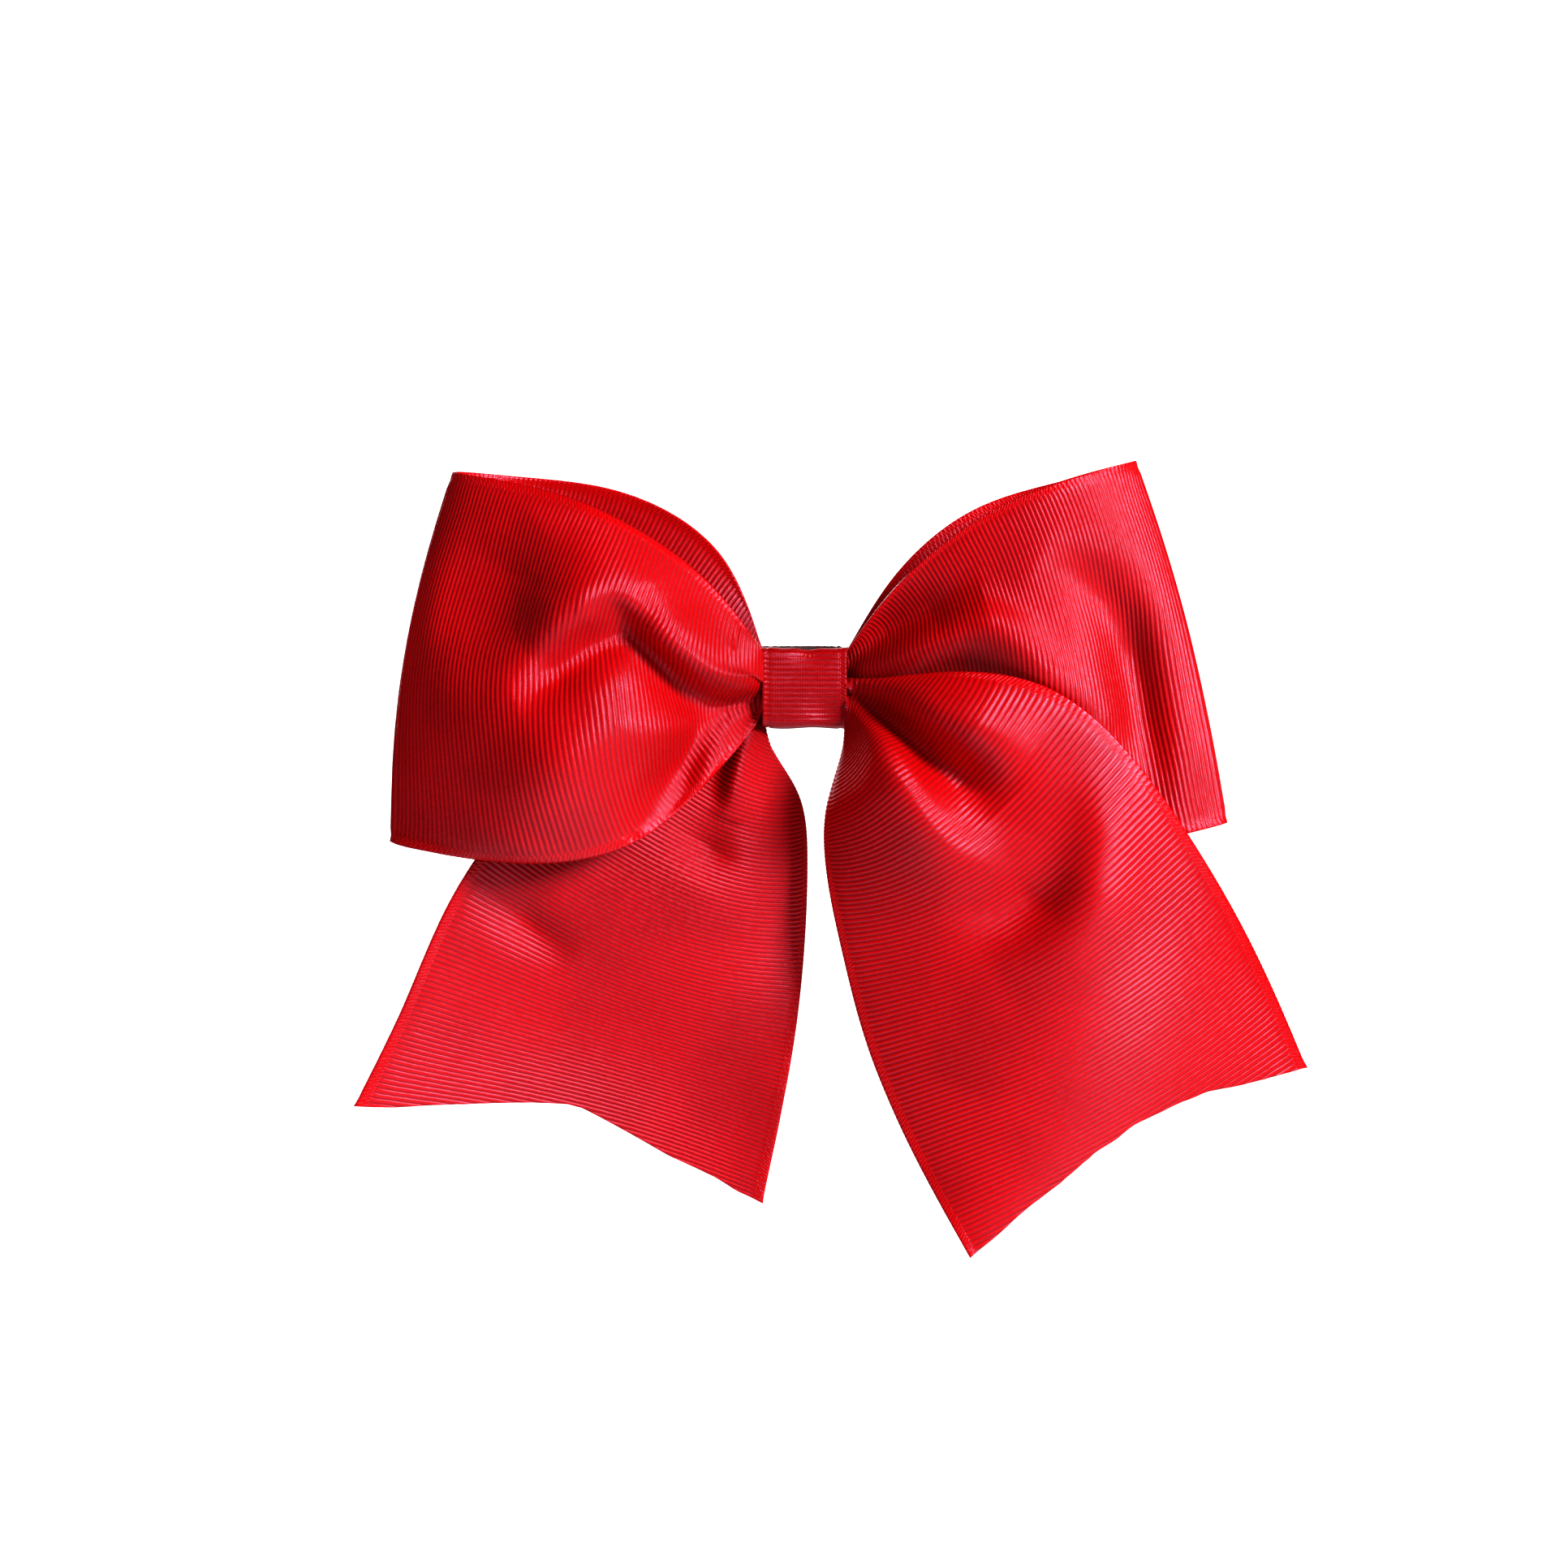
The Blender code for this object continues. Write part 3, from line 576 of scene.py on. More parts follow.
def steel(name, shade, roughness, grain):
    """Nickel-plated spring steel: fine drawn lines along the clip, faint clouding and duller worn spots."""
    n = Nodes(name)
    place = n.add("ShaderNodeTexCoord", 3)
    drawn = (120.0 * grain, 2600.0 * grain, 2600.0 * grain)
    lines = n.noise(n.add("ShaderNodeMapping", 0, Vector=place, Scale=drawn), 1.0, 3.0)
    clouds = n.noise(place, 260.0, 3.0)
    worn = n.ramp(n.noise(place, 900.0, 4.0), 0.58, 0.72)
    plate = n.mix(n.ramp(clouds, 0.3, 0.7), (shade * 0.80, shade * 0.79, shade * 0.76, 1.0),
                  (shade, shade, shade * 0.98, 1.0))
    colour = n.mix(n.math("MULTIPLY", worn, 0.5), plate, (0.34, 0.32, 0.29, 1.0))
    n.link(colour, n.shader.inputs["Base Color"])
    rough = n.math("MULTIPLY_ADD", lines, 0.22, roughness - 0.1)
    n.link(n.math("MULTIPLY_ADD", worn, 0.18, rough), n.shader.inputs["Roughness"])
    n.link(n.bump(n.math("MULTIPLY_ADD", clouds, 0.4, lines), 0.00003, 0.5), n.shader.inputs["Normal"])
    n.shader.inputs["Metallic"].default_value = 1.0
    return n.material


def hot_glue():
    """Cloudy, slightly see-through glue with a smooth, uneven skin."""
    n = Nodes("hot_glue")
    place = n.add("ShaderNodeTexCoord", 3)
    clouds = n.noise(place, 420.0, 3.0)
    skin = n.noise(place, 900.0, 2.0)
    n.link(n.mix(n.ramp(clouds, 0.3, 0.7), (0.70, 0.64, 0.48, 1.0), (0.88, 0.84, 0.72, 1.0)),
           n.shader.inputs["Base Color"])
    n.link(n.math("MULTIPLY_ADD", skin, 0.2, 0.15), n.shader.inputs["Roughness"])
    n.link(n.bump(skin, 0.00025, 0.6), n.shader.inputs["Normal"])
    n.shader.inputs["Subsurface Weight"].default_value = 0.5
    n.shader.inputs["Subsurface Radius"].default_value = (0.0015, 0.0012, 0.0008)
    return n.material


def twisted_thread():
    """Red polyester thread: plies winding round the strand with painted shade between them, and lighter
    fibres.
    """
    n = Nodes("red_thread")
    place = n.add("ShaderNodeTexCoord", 3)
    x, y, z = (n.add("ShaderNodeSeparateXYZ", k, Vector=place) for k in range(3))
    around = n.math("ADD", n.math("MULTIPLY", x, 4200.0), n.math("MULTIPLY", n.math("ADD", y, z), 9000.0))
    ply = n.math("MULTIPLY_ADD", n.math("SINE", around), 0.5, 0.5)
    fibres = n.noise(place, 4200.0, 2.0)
    # painted shade: the red darkens between the plies and is brightest on their crowns
    ply_painted_shade = n.mix(ply, (0.20, 0.0008, 0.0018, 1.0), (0.56, 0.003, 0.006, 1.0))
    n.link(n.mix(n.math("MULTIPLY", n.ramp(fibres, 0.5, 0.8), 0.4), ply_painted_shade, (0.72, 0.02, 0.03, 1.0)),
           n.shader.inputs["Base Color"])
    n.link(n.math("MULTIPLY_ADD", fibres, 0.2, 0.4), n.shader.inputs["Roughness"])
    n.link(n.bump(ply, 0.0001, 0.8), n.shader.inputs["Normal"])
    return n.material


# ---------------------------------------------------------------- the bow

# stations: (right, forward, up) of the lower edge, middle and upper edge, from the knot outwards and back.
# roots: (share across, forward, up) of the pleats at the knot, for each end that is in it.
# strokes: path as (right, up), heights along it, widths to its left and to its right along it.
# cut: (share across, millimetres past the square end) of the scissor line.
LEFT_LOOP = {
    "loop": True, "length": 164.0, "fold_station": 4, "front_share": 0.5,
    "stations": [
        ((-7.9, 3, -6.5), (-7.9, 3, 0), (-7.9, 3, 6.5)),
        ((-17.5, 9, -17), (-24, 15, -0.5), (-15.5, 7, 17)),
        ((-32.5, 17, -30), (-44, 25, 2), (-35, 14, 31.5)),
        ((-60, 15, -33), (-65.5, 20, 3), (-54.5, 11, 38.5)),
        ((-79.5, 4, -29.5), (-76.5, 7, 5.5), (-67.5, 3, 41.5)),
        ((-62, -6, -30.5), (-65, -7, 8), (-54, -7, 41.5)),
        ((-35, -8, -30.5), (-42, -8, 3), (-33.5, -7, 38)),
        ((-18, -4.5, -14.5), (-20.5, -4, 1.5), (-16, -4, 26)),
        ((-7.9, -3, -6.5), (-7.9, -3, 0), (-7.9, -3, 6.5)),
    ],
    "roots": [
        [(0, 4.2, -1.8), (0.12, 3.4, -4.2), (0.3, 2.4, -2.2), (0.45, 1.7, 0.6), (0.55, 2.3, 3.0),
         (0.68, 4.3, 0.9), (0.84, 4.0, 4.3), (1, 3.0, 7.0)],
        [(0, -3.5, -6.5), (0.25, -1.8, -2.5), (0.5, -3.8, 0), (0.75, -1.8, 3.2), (1, -3.2, 6.8)],
    ],
    "strokes": [
        # the flap over the middle, its lip and the hollow under it
        ([(-8.5, 1.2), (-15.8, -0.3), (-22.5, 5), (-27.5, 9.5), (-32, 15.5), (-35, 17.5), (-40, 17.3),
          (-47, 15.5), (-53, 13)],
         [6.8, 7, 7.4, 7.5, 6, 4.5, 3.5, 2, 0], [1.5, 1.8, 2.4, 4], [8.5, 9, 10, 5]),
        ([(-9, -1), (-17, -3), (-24, 1), (-30, 7), (-35, 12)], [-2, -6, -6, -4, 0], [4, 5], [3, 3]),
        ([(-12, -4), (-18.5, -9), (-24, -16), (-29, -23)], [-2, -5, -5, -2], [5, 7], [3, 4]),
        # the turned-up lower selvedge beside the knot
        ([(-8.7, -3.0), (-14.2, -6.6), (-16.6, -11.5), (-18.8, -18), (-23, -24.5)],
         [1, 3.5, 4.5, 4, 0], [1.6, 2.0], [2.4, 2.8]),
        ([(-54, -3), (-44, 3), (-38, 7.5), (-31, 12)], [0, -5, -5, -2], [4, 4], [3.5, 3.5]),
        ([(-52, 7), (-46, 11), (-40, 13.5), (-34, 16)], [0, 3, 4, 1], [5, 5], [3, 3]),
        ([(-50, 31), (-57, 21), (-58, 10), (-53, 1)], [0, -3.5, -3.5, 0], [11, 11], [11, 11]),
        ([(-27, 4), (-37, -7), (-46, -17), (-52, -27)], [0, 4.5, 5, 2], [11, 12], [9, 10]),
    ],
}
RIGHT_LOOP = {
    "loop": True, "length": 164.0, "fold_station": 4, "front_share": 0.5,
    "stations": [
        ((7.9, 0.3, -6.5), (7.9, 0.3, 0), (7.9, 0.3, 6.5)),
        ((20, 2, -17), (23, 7, 2.5), (15.5, 7, 17)),
        ((40, 5, -29.5), (39.5, 13, 7), (33.5, 13, 32)),
        ((64, 7, -30), (61, 14, 7), (51, 13, 39.5)),
        ((81.5, 1, -26), (74, 4, 10), (63.5, 4, 43.5)),
        ((66, -5, -28.5), (61.5, -6, 8), (52, -5, 41)),
        ((43, -7, -27), (39.5, -7, 6.5), (33, -6, 35)),
        ((22, -2.8, -13), (22, -2.8, 1.5), (16, -3, 20)),
        ((7.9, -2.8, -6.5), (7.9, -2.8, 0), (7.9, -2.8, 6.5)),
    ],
    "roots": [
        [(0, 0.5, -6.5), (0.2, -0.7, -3.5), (0.4, 0.9, -0.5), (0.6, -0.6, 1.8), (0.75, 1.3, 3.6),
         (0.88, 0.2, 5.2), (1, 0.6, 7.0)],
        [(0, -2.8, -6.5), (0.25, -1.6, -2.5), (0.5, -3.4, 0), (0.75, -1.6, 3.2), (1, -2.8, 6.8)],
    ],
    "strokes": [
        ([(8.5, 5), (17, 10.3), (26.4, 14.1), (34, 15.5)], [-1, -5, -4.5, 0], [4, 5], [2, 4]),
        ([(7.9, 3.5), (20, 7), (30, 11), (39, 8.5), (46, 1), (54, -6)],
         [1, 4.5, 6, 6, 5, 2], [5, 6], [6, 7]),
        ([(45, 25), (56, 17), (62, 5), (64.5, -8), (66, -20)], [0, -5.5, -8, -7, -3], [6, 6], [6, 6]),
    ],
}
RIGHT_TAIL = {
    "loop": False, "length": 116.5,
    "stations": [
        ((7.9, 3, -6.8), (7.9, 3, -3), (7.9, 3, 1)),
        ((7.9, 4.2, -9.2), (11.5, 5.2, -6), (13.5, 5, 1.5)),
        ((4.5, 9, -21.5), (14.5, 17, -13), (24.5, 13, 2.5)),
        ((4, 10, -33), (24, 20, -25), (46, 18.5, -0.5)),
        ((7, 9, -49.5), (35, 18, -40.5), (62, 17, -14)),
        ((12, 8, -68.5), (46, 17, -57.5), (77.5, 9, -35)),
        ((20, 9, -87.5), (54, 14, -75), (88, -1, -51.5)),
        ((31.5, 14, -108.5), (62, 7, -92.5), (98.9, -8, -74)),
    ],
    "roots": [[(0, 3.2, -7.0), (0.3, 4.6, -4.5), (0.5, 3.9, -1.6), (0.58, 2.2, -0.7), (0.66, 3.9, -0.2),
               (0.85, 4.3, 1.0), (1, 3.0, 1.8)]],
    "strokes": [
        ([(10, -1.5), (14, -4.5), (22, -12), (30, -18), (36, -24)],
         [-2, -6, -8, -7, -1], [2, 4, 6], [2, 3.5, 5]),
        ([(9.5, -3), (14, -10), (18.5, -18), (24, -27), (31, -33), (38, -36)],
         [1, 4, 5, 4, 1.5, 0], [3, 4.5], [7, 9]),
        ([(9, 0.8), (20, -2), (32, -7), (42, -14)], [1, 3.5, 4, 0], [7, 9], [4, 7]),
        ([(26, -40), (34, -43), (43, -41), (48, -33)], [0, -2, -4, -1], [6, 6], [6, 6]),
        ([(58, -14), (56, -27), (53.5, -38), (46, -48), (36, -54)], [0, 2.5, 3.5, 2.5, 0], [9, 9], [5, 6]),
    ],
    "cut": [(0, -0.2), (0.1, -1.6), (0.2, -3.6), (0.3, -5.2), (0.42, -8), (0.47, -8.3), (0.53, -9.2),
            (0.64, -8.4), (0.74, -6.8), (0.82, -4.2), (0.9, -2.2), (1, 0)],
}
LEFT_TAIL = {
    "loop": False, "length": 114.0,
    "stations": [
        ((-7.9, 0, -6.8), (-7.9, 0, -4), (-7.9, 0, -0.5)),
        ((-7.6, 0.3, -9.2), (-11, 0.5, -7.5), (-13, -0.3, -1.5)),
        ((-2.2, 1, -18.2), (-11, 2.5, -17.5), (-22, -1, -6.5)),
        ((0.5, 2, -33), (-17.5, 6, -31.5), (-42.5, 5, -16)),
        ((0, 0, -49), (-26.5, 5, -44), (-56.5, 9, -25.5)),
        ((-1.5, -1, -65), (-33, 1, -58), (-67, 11, -39.5)),
        ((-4.5, -3, -82.5), (-39, -3, -71.5), (-76.5, 9, -60.5)),
        ((-8, -4, -100.5), (-47, -3, -87.5), (-86.5, 10, -80.5)),
    ],
    "roots": [[(0, 0.6, -7.0), (0.25, -0.8, -5.6), (0.5, 0.9, -3.8), (0.75, -0.8, -2.0), (1, 0.3, 1.0)]],
    "strokes": [
        ([(-8.6, -5.2), (-11.3, -11), (-13, -18), (-14.5, -26)], [0.5, 3.5, 3.5, 0], [4, 7], [1.8, 2.6]),
        ([(-16, -24), (-19, -30), (-23, -36)], [0, -3, 0], [6, 6], [6, 6]),
        ([(-62, -35), (-54, -45), (-44, -52)], [0, -3, 0], [4, 4], [4, 4]),
    ],
    "cut": [(0, -0.3), (0.07, -0.8), (0.12, -2.0), (0.25, -3.3), (0.35, -5.6), (0.48, -8.6),
            (0.52, -8.7), (0.6, -7.2), (0.75, -3.9), (0.9, -1.2), (1, -0.3)],
}

RUNS = {
    "left_loop": (LEFT_LOOP, "bow"),
    "right_loop": (RIGHT_LOOP, "bow"),
    "left_tail": (LEFT_TAIL, "left_tail"),
    "right_tail": (RIGHT_TAIL, "right_tail"),
}


def place_mm(x, y, z):
    return (x * MM, y * MM, z * MM)


def bow_runs():
    """The four runs of the ribbon; the loops are attached to the bow, the tails are baked into place."""
    ribbon_red = grosgrain("ribbon_red", RIBBON_WIDTH)
    shapes = {}
    for name, (spec, body) in RUNS.items():
        if name == "right_tail":
            loop = shapes["right_loop"]
            spec["keep_clear"] = clear_in_front(loop[:len(loop) // 2])
        shapes[name] = ribbon_shape(spec)
        piece = ribbon_mesh(f"{name}_ribbon", shapes[name], spec, ribbon_red)
        if body == "bow":
            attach(piece, body)
        else:
            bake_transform(piece)
        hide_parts(name)


# ---------------------------------------------------------------- band, knot, lining

def rounded_path(corners, radius, count):
    """Evenly spread points along straight runs whose corners are rounded."""
    corners = np.array(corners, float)
    path = [corners[0]]
    for before, corner, after in zip(corners, corners[1:], corners[2:]):
        first = corner + (before - corner) * radius / np.linalg.norm(before - corner)
        last = corner + (after - corner) * radius / np.linalg.norm(after - corner)
        for t in np.linspace(0.0, 1.0, 7):
            path.append((1 - t) ** 2 * first + 2 * t * (1 - t) * corner + t * t * last)
    path = np.array(path + [corners[-1]])
    travelled = np.concatenate([[0.0], np.cumsum(np.linalg.norm(np.diff(path, axis=0), axis=1))])
    at = np.linspace(0.0, travelled[-1], count)
    return np.stack([np.interp(at, travelled, path[:, k]) for k in range(2)], axis=-1), travelled[-1]


def small_ribbon(name, path, length, low, high, order, spec, material):
    """A narrow ribbon along a flat path; order gives the axes of the path's directions and of the width."""
    cols = spec["grid_cols"]
    grid = np.zeros((len(path), cols, 3))
    grid[..., order[0]] = path[:, None, 0]
    grid[..., order[1]] = path[:, None, 1]
    grid[..., order[2]] = np.linspace(low, high, cols)[None, :]
    if "press" in spec:
        spec["press"](grid)
    made = ribbon_mesh(name, grid, {"length": length, "width": high - low, **spec}, material)
    return made


WRAP_LAYER = 0.35  # from the band's outer skin to its middle
band_front = KNOT[1] - wrap_low.y / MM - WRAP_LAYER
band_top = (wrap_high.z - wrap_low.z) / 2 / MM - WRAP_LAYER
lap_back = -(wrap_high.y / MM - KNOT[1] - WRAP_LAYER)
first_back = lap_back + 1.1
LAP_END = 4.2  # from the band's top or bottom to each of its ends behind the knot
KNOT_HALF_WIDTH = (knot_high.x - knot_low.x) / 2 / MM - 0.2


def dent_band(grid):
    """The band sinks into the hollows of the pleats under it, at its top middle and its lower right."""
    x, forward, up = grid[..., 0], grid[..., 1], grid[..., 2]
    front = np.clip((forward - 2.5) / 2.0, 0.0, 1.0)
    hollow = 0.62 * np.exp(-(((x - 0.6) / 3.6) ** 2) - ((up - 6.6) / 2.2) ** 2)
    hollow += 0.80 * np.exp(-(((x - 4.6) / 3.6) ** 2) - ((up + 5.0) / 3.0) ** 2)
    hollow += 0.22 * np.exp(-(((x + 1.0) / 5.0) ** 2) - ((up - 2.0) / 1.2) ** 2)
    crown = 0.30 * (up / band_top) ** 2
    forward -= (hollow + crown) * front
    top = np.clip((up - 5.5) / 2.0, 0.0, 1.0)
    up -= top * (0.32 * np.exp(-(((x - 0.8) / 3.4) ** 2)) + 0.10 * np.sin(1.3 * x + 0.8))
    bottom = np.clip((-up - 5.5) / 2.0, 0.0, 1.0)
    up += bottom * (0.14 * np.sin(0.55 * x + 0.6) + 0.06)


def centre_band():
    """The narrow band round the knot, whose ends lap behind it."""
    corners = [
        (first_back, LAP_END - band_top), (first_back, band_top), (band_front, band_top),
        (band_front, -band_top), (lap_back, -band_top), (lap_back, band_top - LAP_END),
    ]
    path, length = rounded_path(corners, 1.6, 120)
    half = (wrap_high.x - wrap_low.x) / 2 / MM
    spec = {"cols": 44, "grid_cols": 20, "selvedge": 1.2, "rib_height": 0.075, "press": dent_band}
    # painted shadow: the band's red is scaled down to 0.62 for the shade the loops and knot cast on it
    piece = small_ribbon("centre_band", path, length, -half, half, (1, 2, 0), spec,
                         grosgrain("band_red", 2 * half, 1.2, 0.62))
    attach(piece, "bow")
    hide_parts("centre_wrap")


def knot_pleats():
    """The ribbon's layers under the band, folded to and fro and pinched in the middle by the thread."""
    folds, height, depth = 12, 6.3, 3.2
    v = np.linspace(0.0, 1.0, 12 * folds + 1)
    forward = depth * np.cos(math.pi * folds * v)
    up = -height + 2 * height * v + 0.12 * np.sin(2 * math.pi * folds * v)
    x = np.linspace(-KNOT_HALF_WIDTH, KNOT_HALF_WIDTH, 13)
    pinch = 1 - 0.2 * np.exp(-((x / 2.4) ** 2))
    grid = np.stack([
        np.repeat(x[:, None], len(v), 1), pinch[:, None] * forward[None, :], pinch[:, None] * up[None, :]
    ], axis=-1)
    folded = line_length(grid[0])
    spec = {"length": 2 * KNOT_HALF_WIDTH, "width": folded, "cols": 10 * folds, "rib_height": 0.08}
    piece = ribbon_mesh("knot_pleats", grid, spec, grosgrain("knot_red", folded))
    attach(piece, "bow")
    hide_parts("gathered_knot")


def jaw_lining():
    """The thin ribbon folded round the upper jaw's nose."""
    low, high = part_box("clip_lining")
    outer, inner = low.y / MM + 0.25, high.y / MM - 0.25
    nose = low.x / MM + 0.3
    corners = [(high.x / MM, outer), (nose, outer), (nose, inner), (high.x / MM - 2.4, inner)]
    corners = [(x - KNOT[0], KNOT[1] - y) for x, y in corners]
    path, length = rounded_path(corners, 0.72, 150)
    spec = {"cols": 28, "grid_cols": 8, "selvedge": 0.8, "rib_height": 0.05}
    bottom, top = low.z / MM - KNOT[2], high.z / MM - KNOT[2]
    piece = small_ribbon("jaw_lining", path, length, bottom, top, (0, 1, 2), spec,
                         grosgrain("lining_red", (high.z - low.z) / MM, 0.8))
    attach(piece, "bow")
    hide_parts("clip_lining")


# ---------------------------------------------------------------- glue, spring, steel

def finished(name, work, material):
    mesh = bpy.data.meshes.new(name)
    work.to_mesh(mesh)
    work.free()
    mesh.shade_smooth()
    return placed(name, mesh, material)


def glue_bead(node, name, waves, material):
    """Glue squeezed flat between two layers: a rounded pad with an uneven rim, inside its solid's box."""
    low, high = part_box(node)
    work = bmesh.new()
    bmesh.ops.create_uvsphere(work, u_segments=40, v_segments=20, radius=1.0)
    for vert in work.verts:
        lean = math.atan2(vert.co.z, vert.co.x)
        rim = 1 - 0.09 * (1 + math.sin(waves * lean + 0.7)) - 0.03 * (1 + math.sin(2.6 * waves * lean))
        shape = [math.copysign(abs(value) ** 0.6, value) for value in vert.co]
        shape = [shape[0] * rim, shape[1] * (1 - 0.06 * math.sin(3 * lean)) * 0.94, shape[2] * rim]
        vert.co = [(low[k] + high[k]) / 2 + shape[k] * (high[k] - low[k]) / 2 for k in range(3)]
    piece = finished(name, work, material)
    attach(piece, "bow")
    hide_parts(node)


def tube(name, route, radius, sides, material):
    """A round wire with domed ends along a route in metres, as one closed mesh."""
    points = [Vector(place) for place in route]
    forwards = [(after - before).normalized() for before, after in zip(points, points[1:])]
    forwards.append(forwards[-1])
    across = forwards[0].orthogonal().normalized()
    work = bmesh.new()
    rings = []
    for index, (place, ahead) in enumerate(zip(points, forwards)):
        across = (across - ahead * across.dot(ahead)).normalized()
        other = ahead.cross(across)
        share = 0.6 if index in (0, len(points) - 1) else 1.0
        rings.append([
            work.verts.new(place + radius * share * (math.cos(a) * across + math.sin(a) * other))
            for a in (2 * math.pi * k / sides for k in range(sides))
        ])
    for ring, following in zip(rings, rings[1:]):
        for k in range(sides):
            m = (k + 1) % sides
            work.faces.new((ring[k], ring[m], following[m], following[k]))
    work.faces.new(rings[0][::-1])
    work.faces.new(rings[-1])
    return finished(name, work, material)


SPRING_WIRE = 0.35
SPRING_RADIUS = 1.25
SPRING_TURNS = 5.5
SPRING_LEG = 7.5
SPRING_RISE = math.radians(10)  # the upper leg's slope under its lever
SPRING_HALF = 2.0  # the coil's half length along the pin


def jaw_spring(material):
    """The torsion spring: a leg under the upper lever, a coil round the pin, a leg on the lower lever."""
    low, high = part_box("hinge_pin")
    hinge_x, hinge_y = (low.x + high.x) / 2 / MM, (low.y + high.y) / 2 / MM
    steps = int(SPRING_TURNS * 26)
    coil = []
    for i in range(steps + 1):
        a = -math.pi / 2 - 2 * math.pi * SPRING_TURNS * i / steps
        coil.append((hinge_x + SPRING_RADIUS * math.cos(a), hinge_y + SPRING_RADIUS * math.sin(a),
                     SPRING_HALF * (1 - 2 * i / steps)))
    rise = SPRING_LEG * math.tan(SPRING_RISE)
    marks = (0.25, 0.6, 0.98, 1.0)
    (first_x, first_y, _), (last_x, last_y, _) = coil[0], coil[-1]
    upper = [(first_x + SPRING_LEG * t, first_y - rise * t, SPRING_HALF) for t in marks[::-1]]
    lower = [(last_x + SPRING_LEG * t, last_y, -SPRING_HALF) for t in marks]
    route = [place_mm(*place) for place in upper + coil + lower]
    piece = tube("jaw_spring", route, SPRING_WIRE * MM, 12, material)
    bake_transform(piece)
    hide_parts("torsion_spring")


def clip_finishes():
    """The clip's steel and the thread keep their CAD solids and get materials of their own."""
    plated = steel("clip_steel", 0.72, 0.30, 1.0)
    finishes = {
        "upper_jaw": plated, "lower_jaw": plated, "hinge_pin": plated, "binding_thread": twisted_thread(),
    }
    for node, finish in finishes.items():
        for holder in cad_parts[node].material_slots:
            holder.material = finish


# ---------------------------------------------------------------- studio

FLOOR_DROP = 0.40  # below the bow's lowest point
FLOOR_RADIUS = 1.5
FLOOR_FADE = (0.5, 1.4)  # distances from its middle over which the floor fades out
WORLD_LIGHT = 0.07
LAMP_COLOUR = (1.0, 0.95, 0.97)
LAMP_AIM = Vector((0.0, 0.0, -0.02))
LAMPS = [
    # name, place, size, watts, seen in the gloss
    ("key_window", (0.95, -0.8, 0.5), 0.40, 24.0, True),
    ("front_fill", (-0.3, -1.2, 0.4), 0.80, 2.2, False),
    ("left_fill", (-1.0, -0.55, 0.35), 0.80, 2.2, False),
    ("back_window", (-0.20, 0.80, 0.20), 0.80, 6.0, True),
]
VIEW_DISTANCE = 0.6
VIEW_WIDTH = 303.324 * MM  # what the whole picture spans at the knot
VIEW_CENTRE = (-3.93 * MM, -18.53 * MM)  # right and up from the knot
SENSOR_WIDTH = 36.0


def pale_floor():
    """A pale disc well below the bow, which fades out towards its rim."""
    disc = bmesh.new()
    bmesh.ops.create_circle(disc, cap_ends=True, segments=96, radius=FLOOR_RADIUS)
    mesh = bpy.data.meshes.new("floor")
    disc.to_mesh(mesh)
    disc.free()
    pale = bpy.data.materials.new("pale_floor")
    pale.use_nodes = True
    nodes, links = pale.node_tree.nodes, pale.node_tree.links
    shader = nodes["Principled BSDF"]
    shader.inputs["Base Color"].default_value = (0.93, 0.93, 0.92, 1.0)
    shader.inputs["Roughness"].default_value = 0.8
    distance = nodes.new("ShaderNodeVectorMath")
    distance.operation = "LENGTH"
    links.new(nodes.new("ShaderNodeTexCoord").outputs["Object"], distance.inputs[0])
    fade = nodes.new("ShaderNodeMapRange")
    fade.interpolation_type = "SMOOTHSTEP"
    fade.inputs["From Min"].default_value, fade.inputs["From Max"].default_value = FLOOR_FADE
    fade.inputs["To Min"].default_value = 1.0
    fade.inputs["To Max"].default_value = 0.0
    links.new(distance.outputs["Value"], fade.inputs["Value"])
    links.new(fade.outputs["Result"], shader.inputs["Alpha"])
    plane = placed("floor", mesh, pale)
    plane.location = (0.0, 0.0, cad_box[0][2] - FLOOR_DROP)


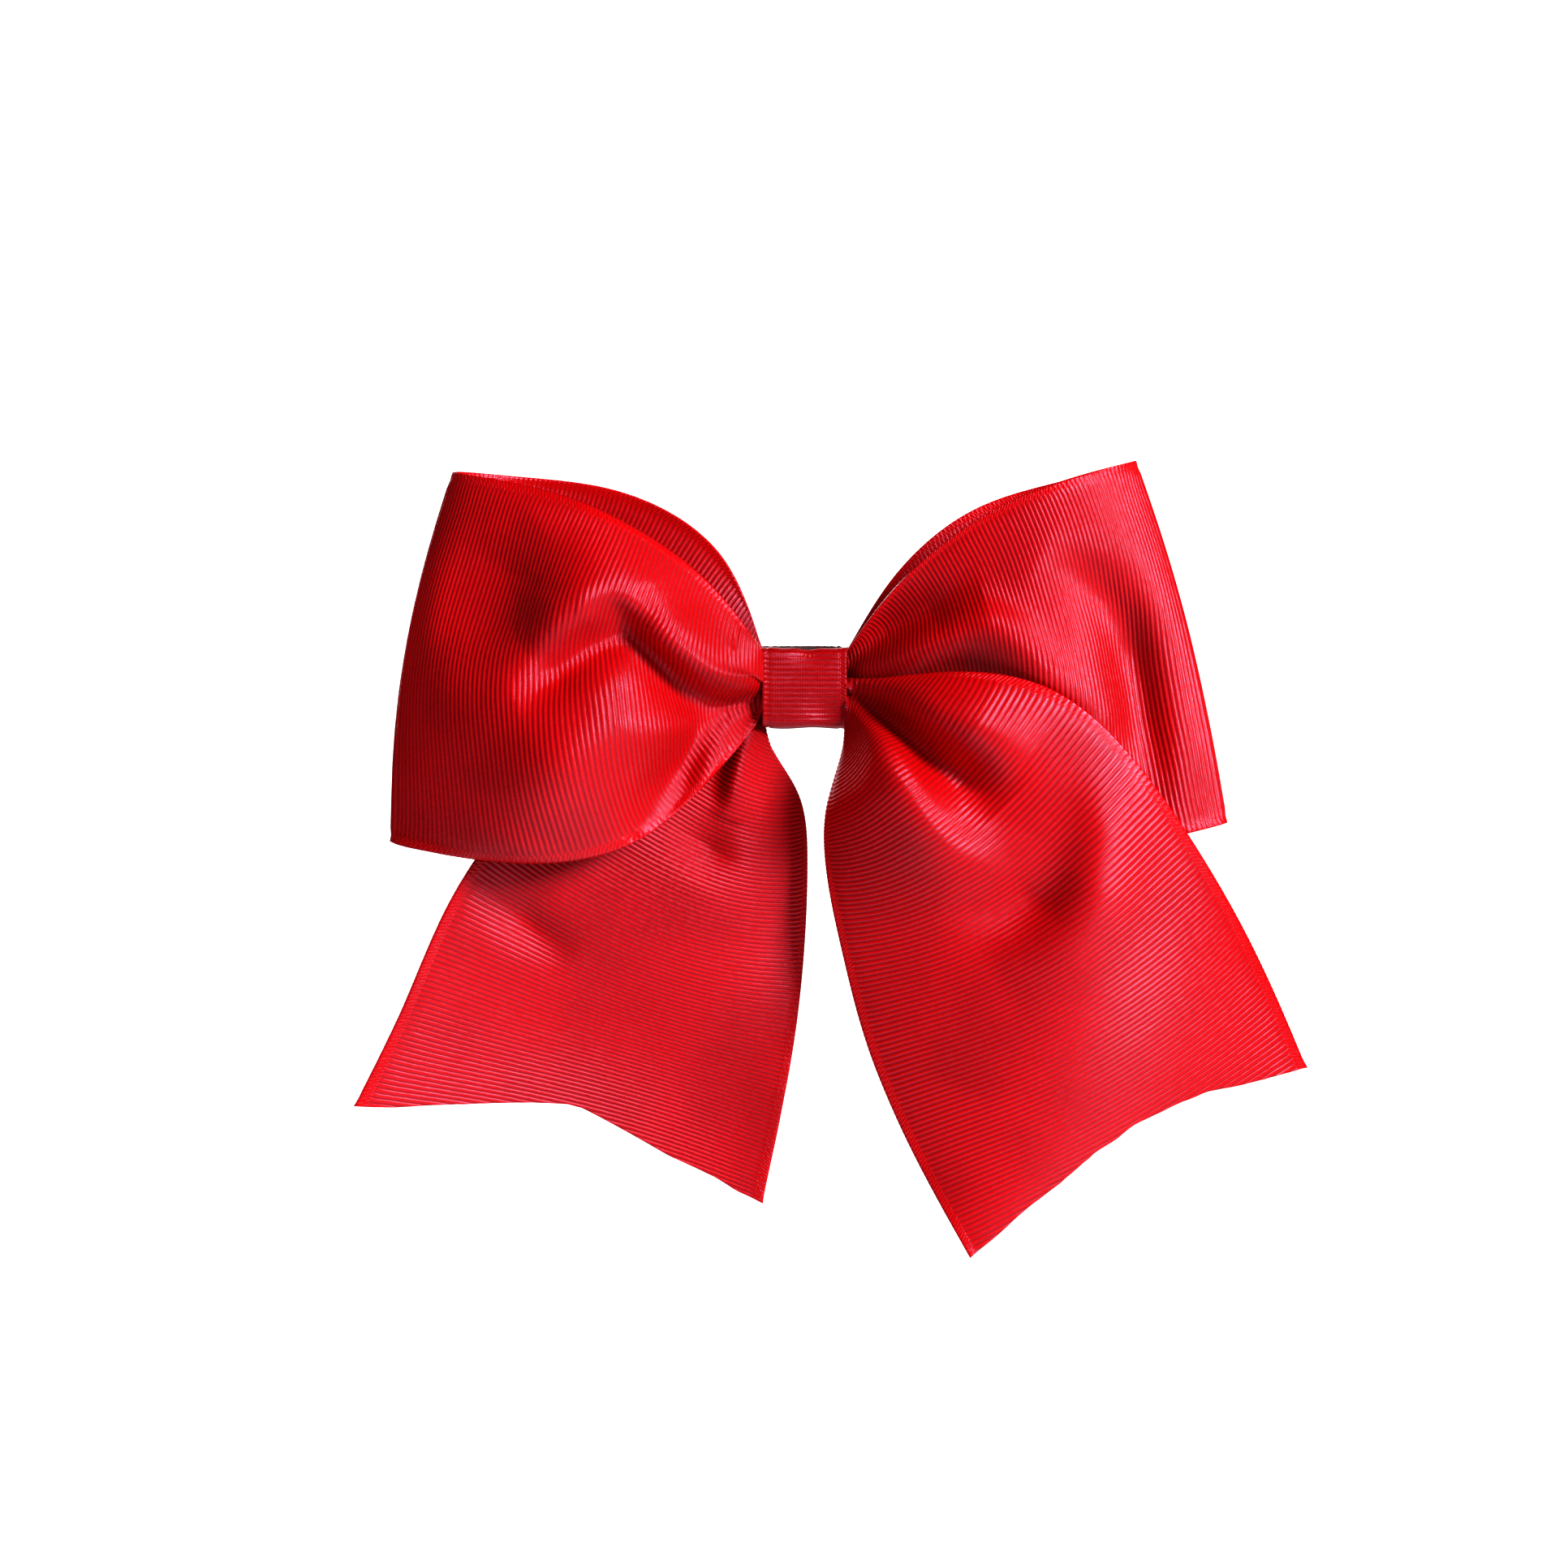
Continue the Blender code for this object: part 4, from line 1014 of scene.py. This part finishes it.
def white_surround():
    """White where the camera sees past the bow, and only a little light from all round."""
    world = bpy.data.worlds.new("studio")
    bpy.context.scene.world = world
    world.use_nodes = True
    nodes, links = world.node_tree.nodes, world.node_tree.links
    surround = nodes["Background"]
    surround.inputs["Color"].default_value = (1.0, 0.97, 0.98, 1.0)
    surround.inputs["Strength"].default_value = WORLD_LIGHT
    seen = nodes.new("ShaderNodeBackground")
    seen.inputs["Color"].default_value = (1.0, 1.0, 1.0, 1.0)
    mix = nodes.new("ShaderNodeMixShader")
    links.new(nodes.new("ShaderNodeLightPath").outputs["Is Camera Ray"], mix.inputs["Fac"])
    links.new(surround.outputs["Background"], mix.inputs[1])
    links.new(seen.outputs["Background"], mix.inputs[2])
    links.new(mix.outputs["Shader"], nodes["World Output"].inputs["Surface"])


def lamps():
    """Soft window light from the right and from behind, with weak fills that leave no shine."""
    for name, place, size, power, in_gloss in LAMPS:
        light = bpy.data.lights.new(name, "AREA")
        light.size = size
        light.energy = power
        light.color = LAMP_COLOUR
        lamp = bpy.data.objects.new(name, light)
        lamp.location = place
        lamp.rotation_euler = (LAMP_AIM - lamp.location).to_track_quat("-Z", "Y").to_euler()
        lamp.visible_glossy = in_gloss
        bpy.context.scene.collection.objects.link(lamp)


def camera():
    """Square on to the front, level with the upper tails."""
    lens = bpy.data.cameras.new("camera")
    lens.sensor_width = SENSOR_WIDTH
    lens.lens = SENSOR_WIDTH * VIEW_DISTANCE / VIEW_WIDTH
    view = bpy.data.objects.new("camera", lens)
    right, up = VIEW_CENTRE
    view.location = (KNOT[0] * MM + right, KNOT[1] * MM - VIEW_DISTANCE, KNOT[2] * MM + up)
    view.rotation_euler = (math.pi / 2, 0.0, 0.0)
    bpy.context.scene.collection.objects.link(view)
    bpy.context.scene.camera = view


# ---------------------------------------------------------------- everything in order

bow_runs()
centre_band()
knot_pleats()
jaw_lining()
glue = hot_glue()
glue_bead("clip_glue", "clip_glue_bead", 5, glue)
glue_bead("wrap_glue", "band_glue_bead", 4, glue)
jaw_spring(steel("spring_steel", 0.60, 0.34, 1.6))
clip_finishes()
pale_floor()
white_surround()
lamps()
camera()
bpy.context.scene.view_settings.view_transform = "Standard"
bpy.context.scene.view_settings.look = "High Contrast"
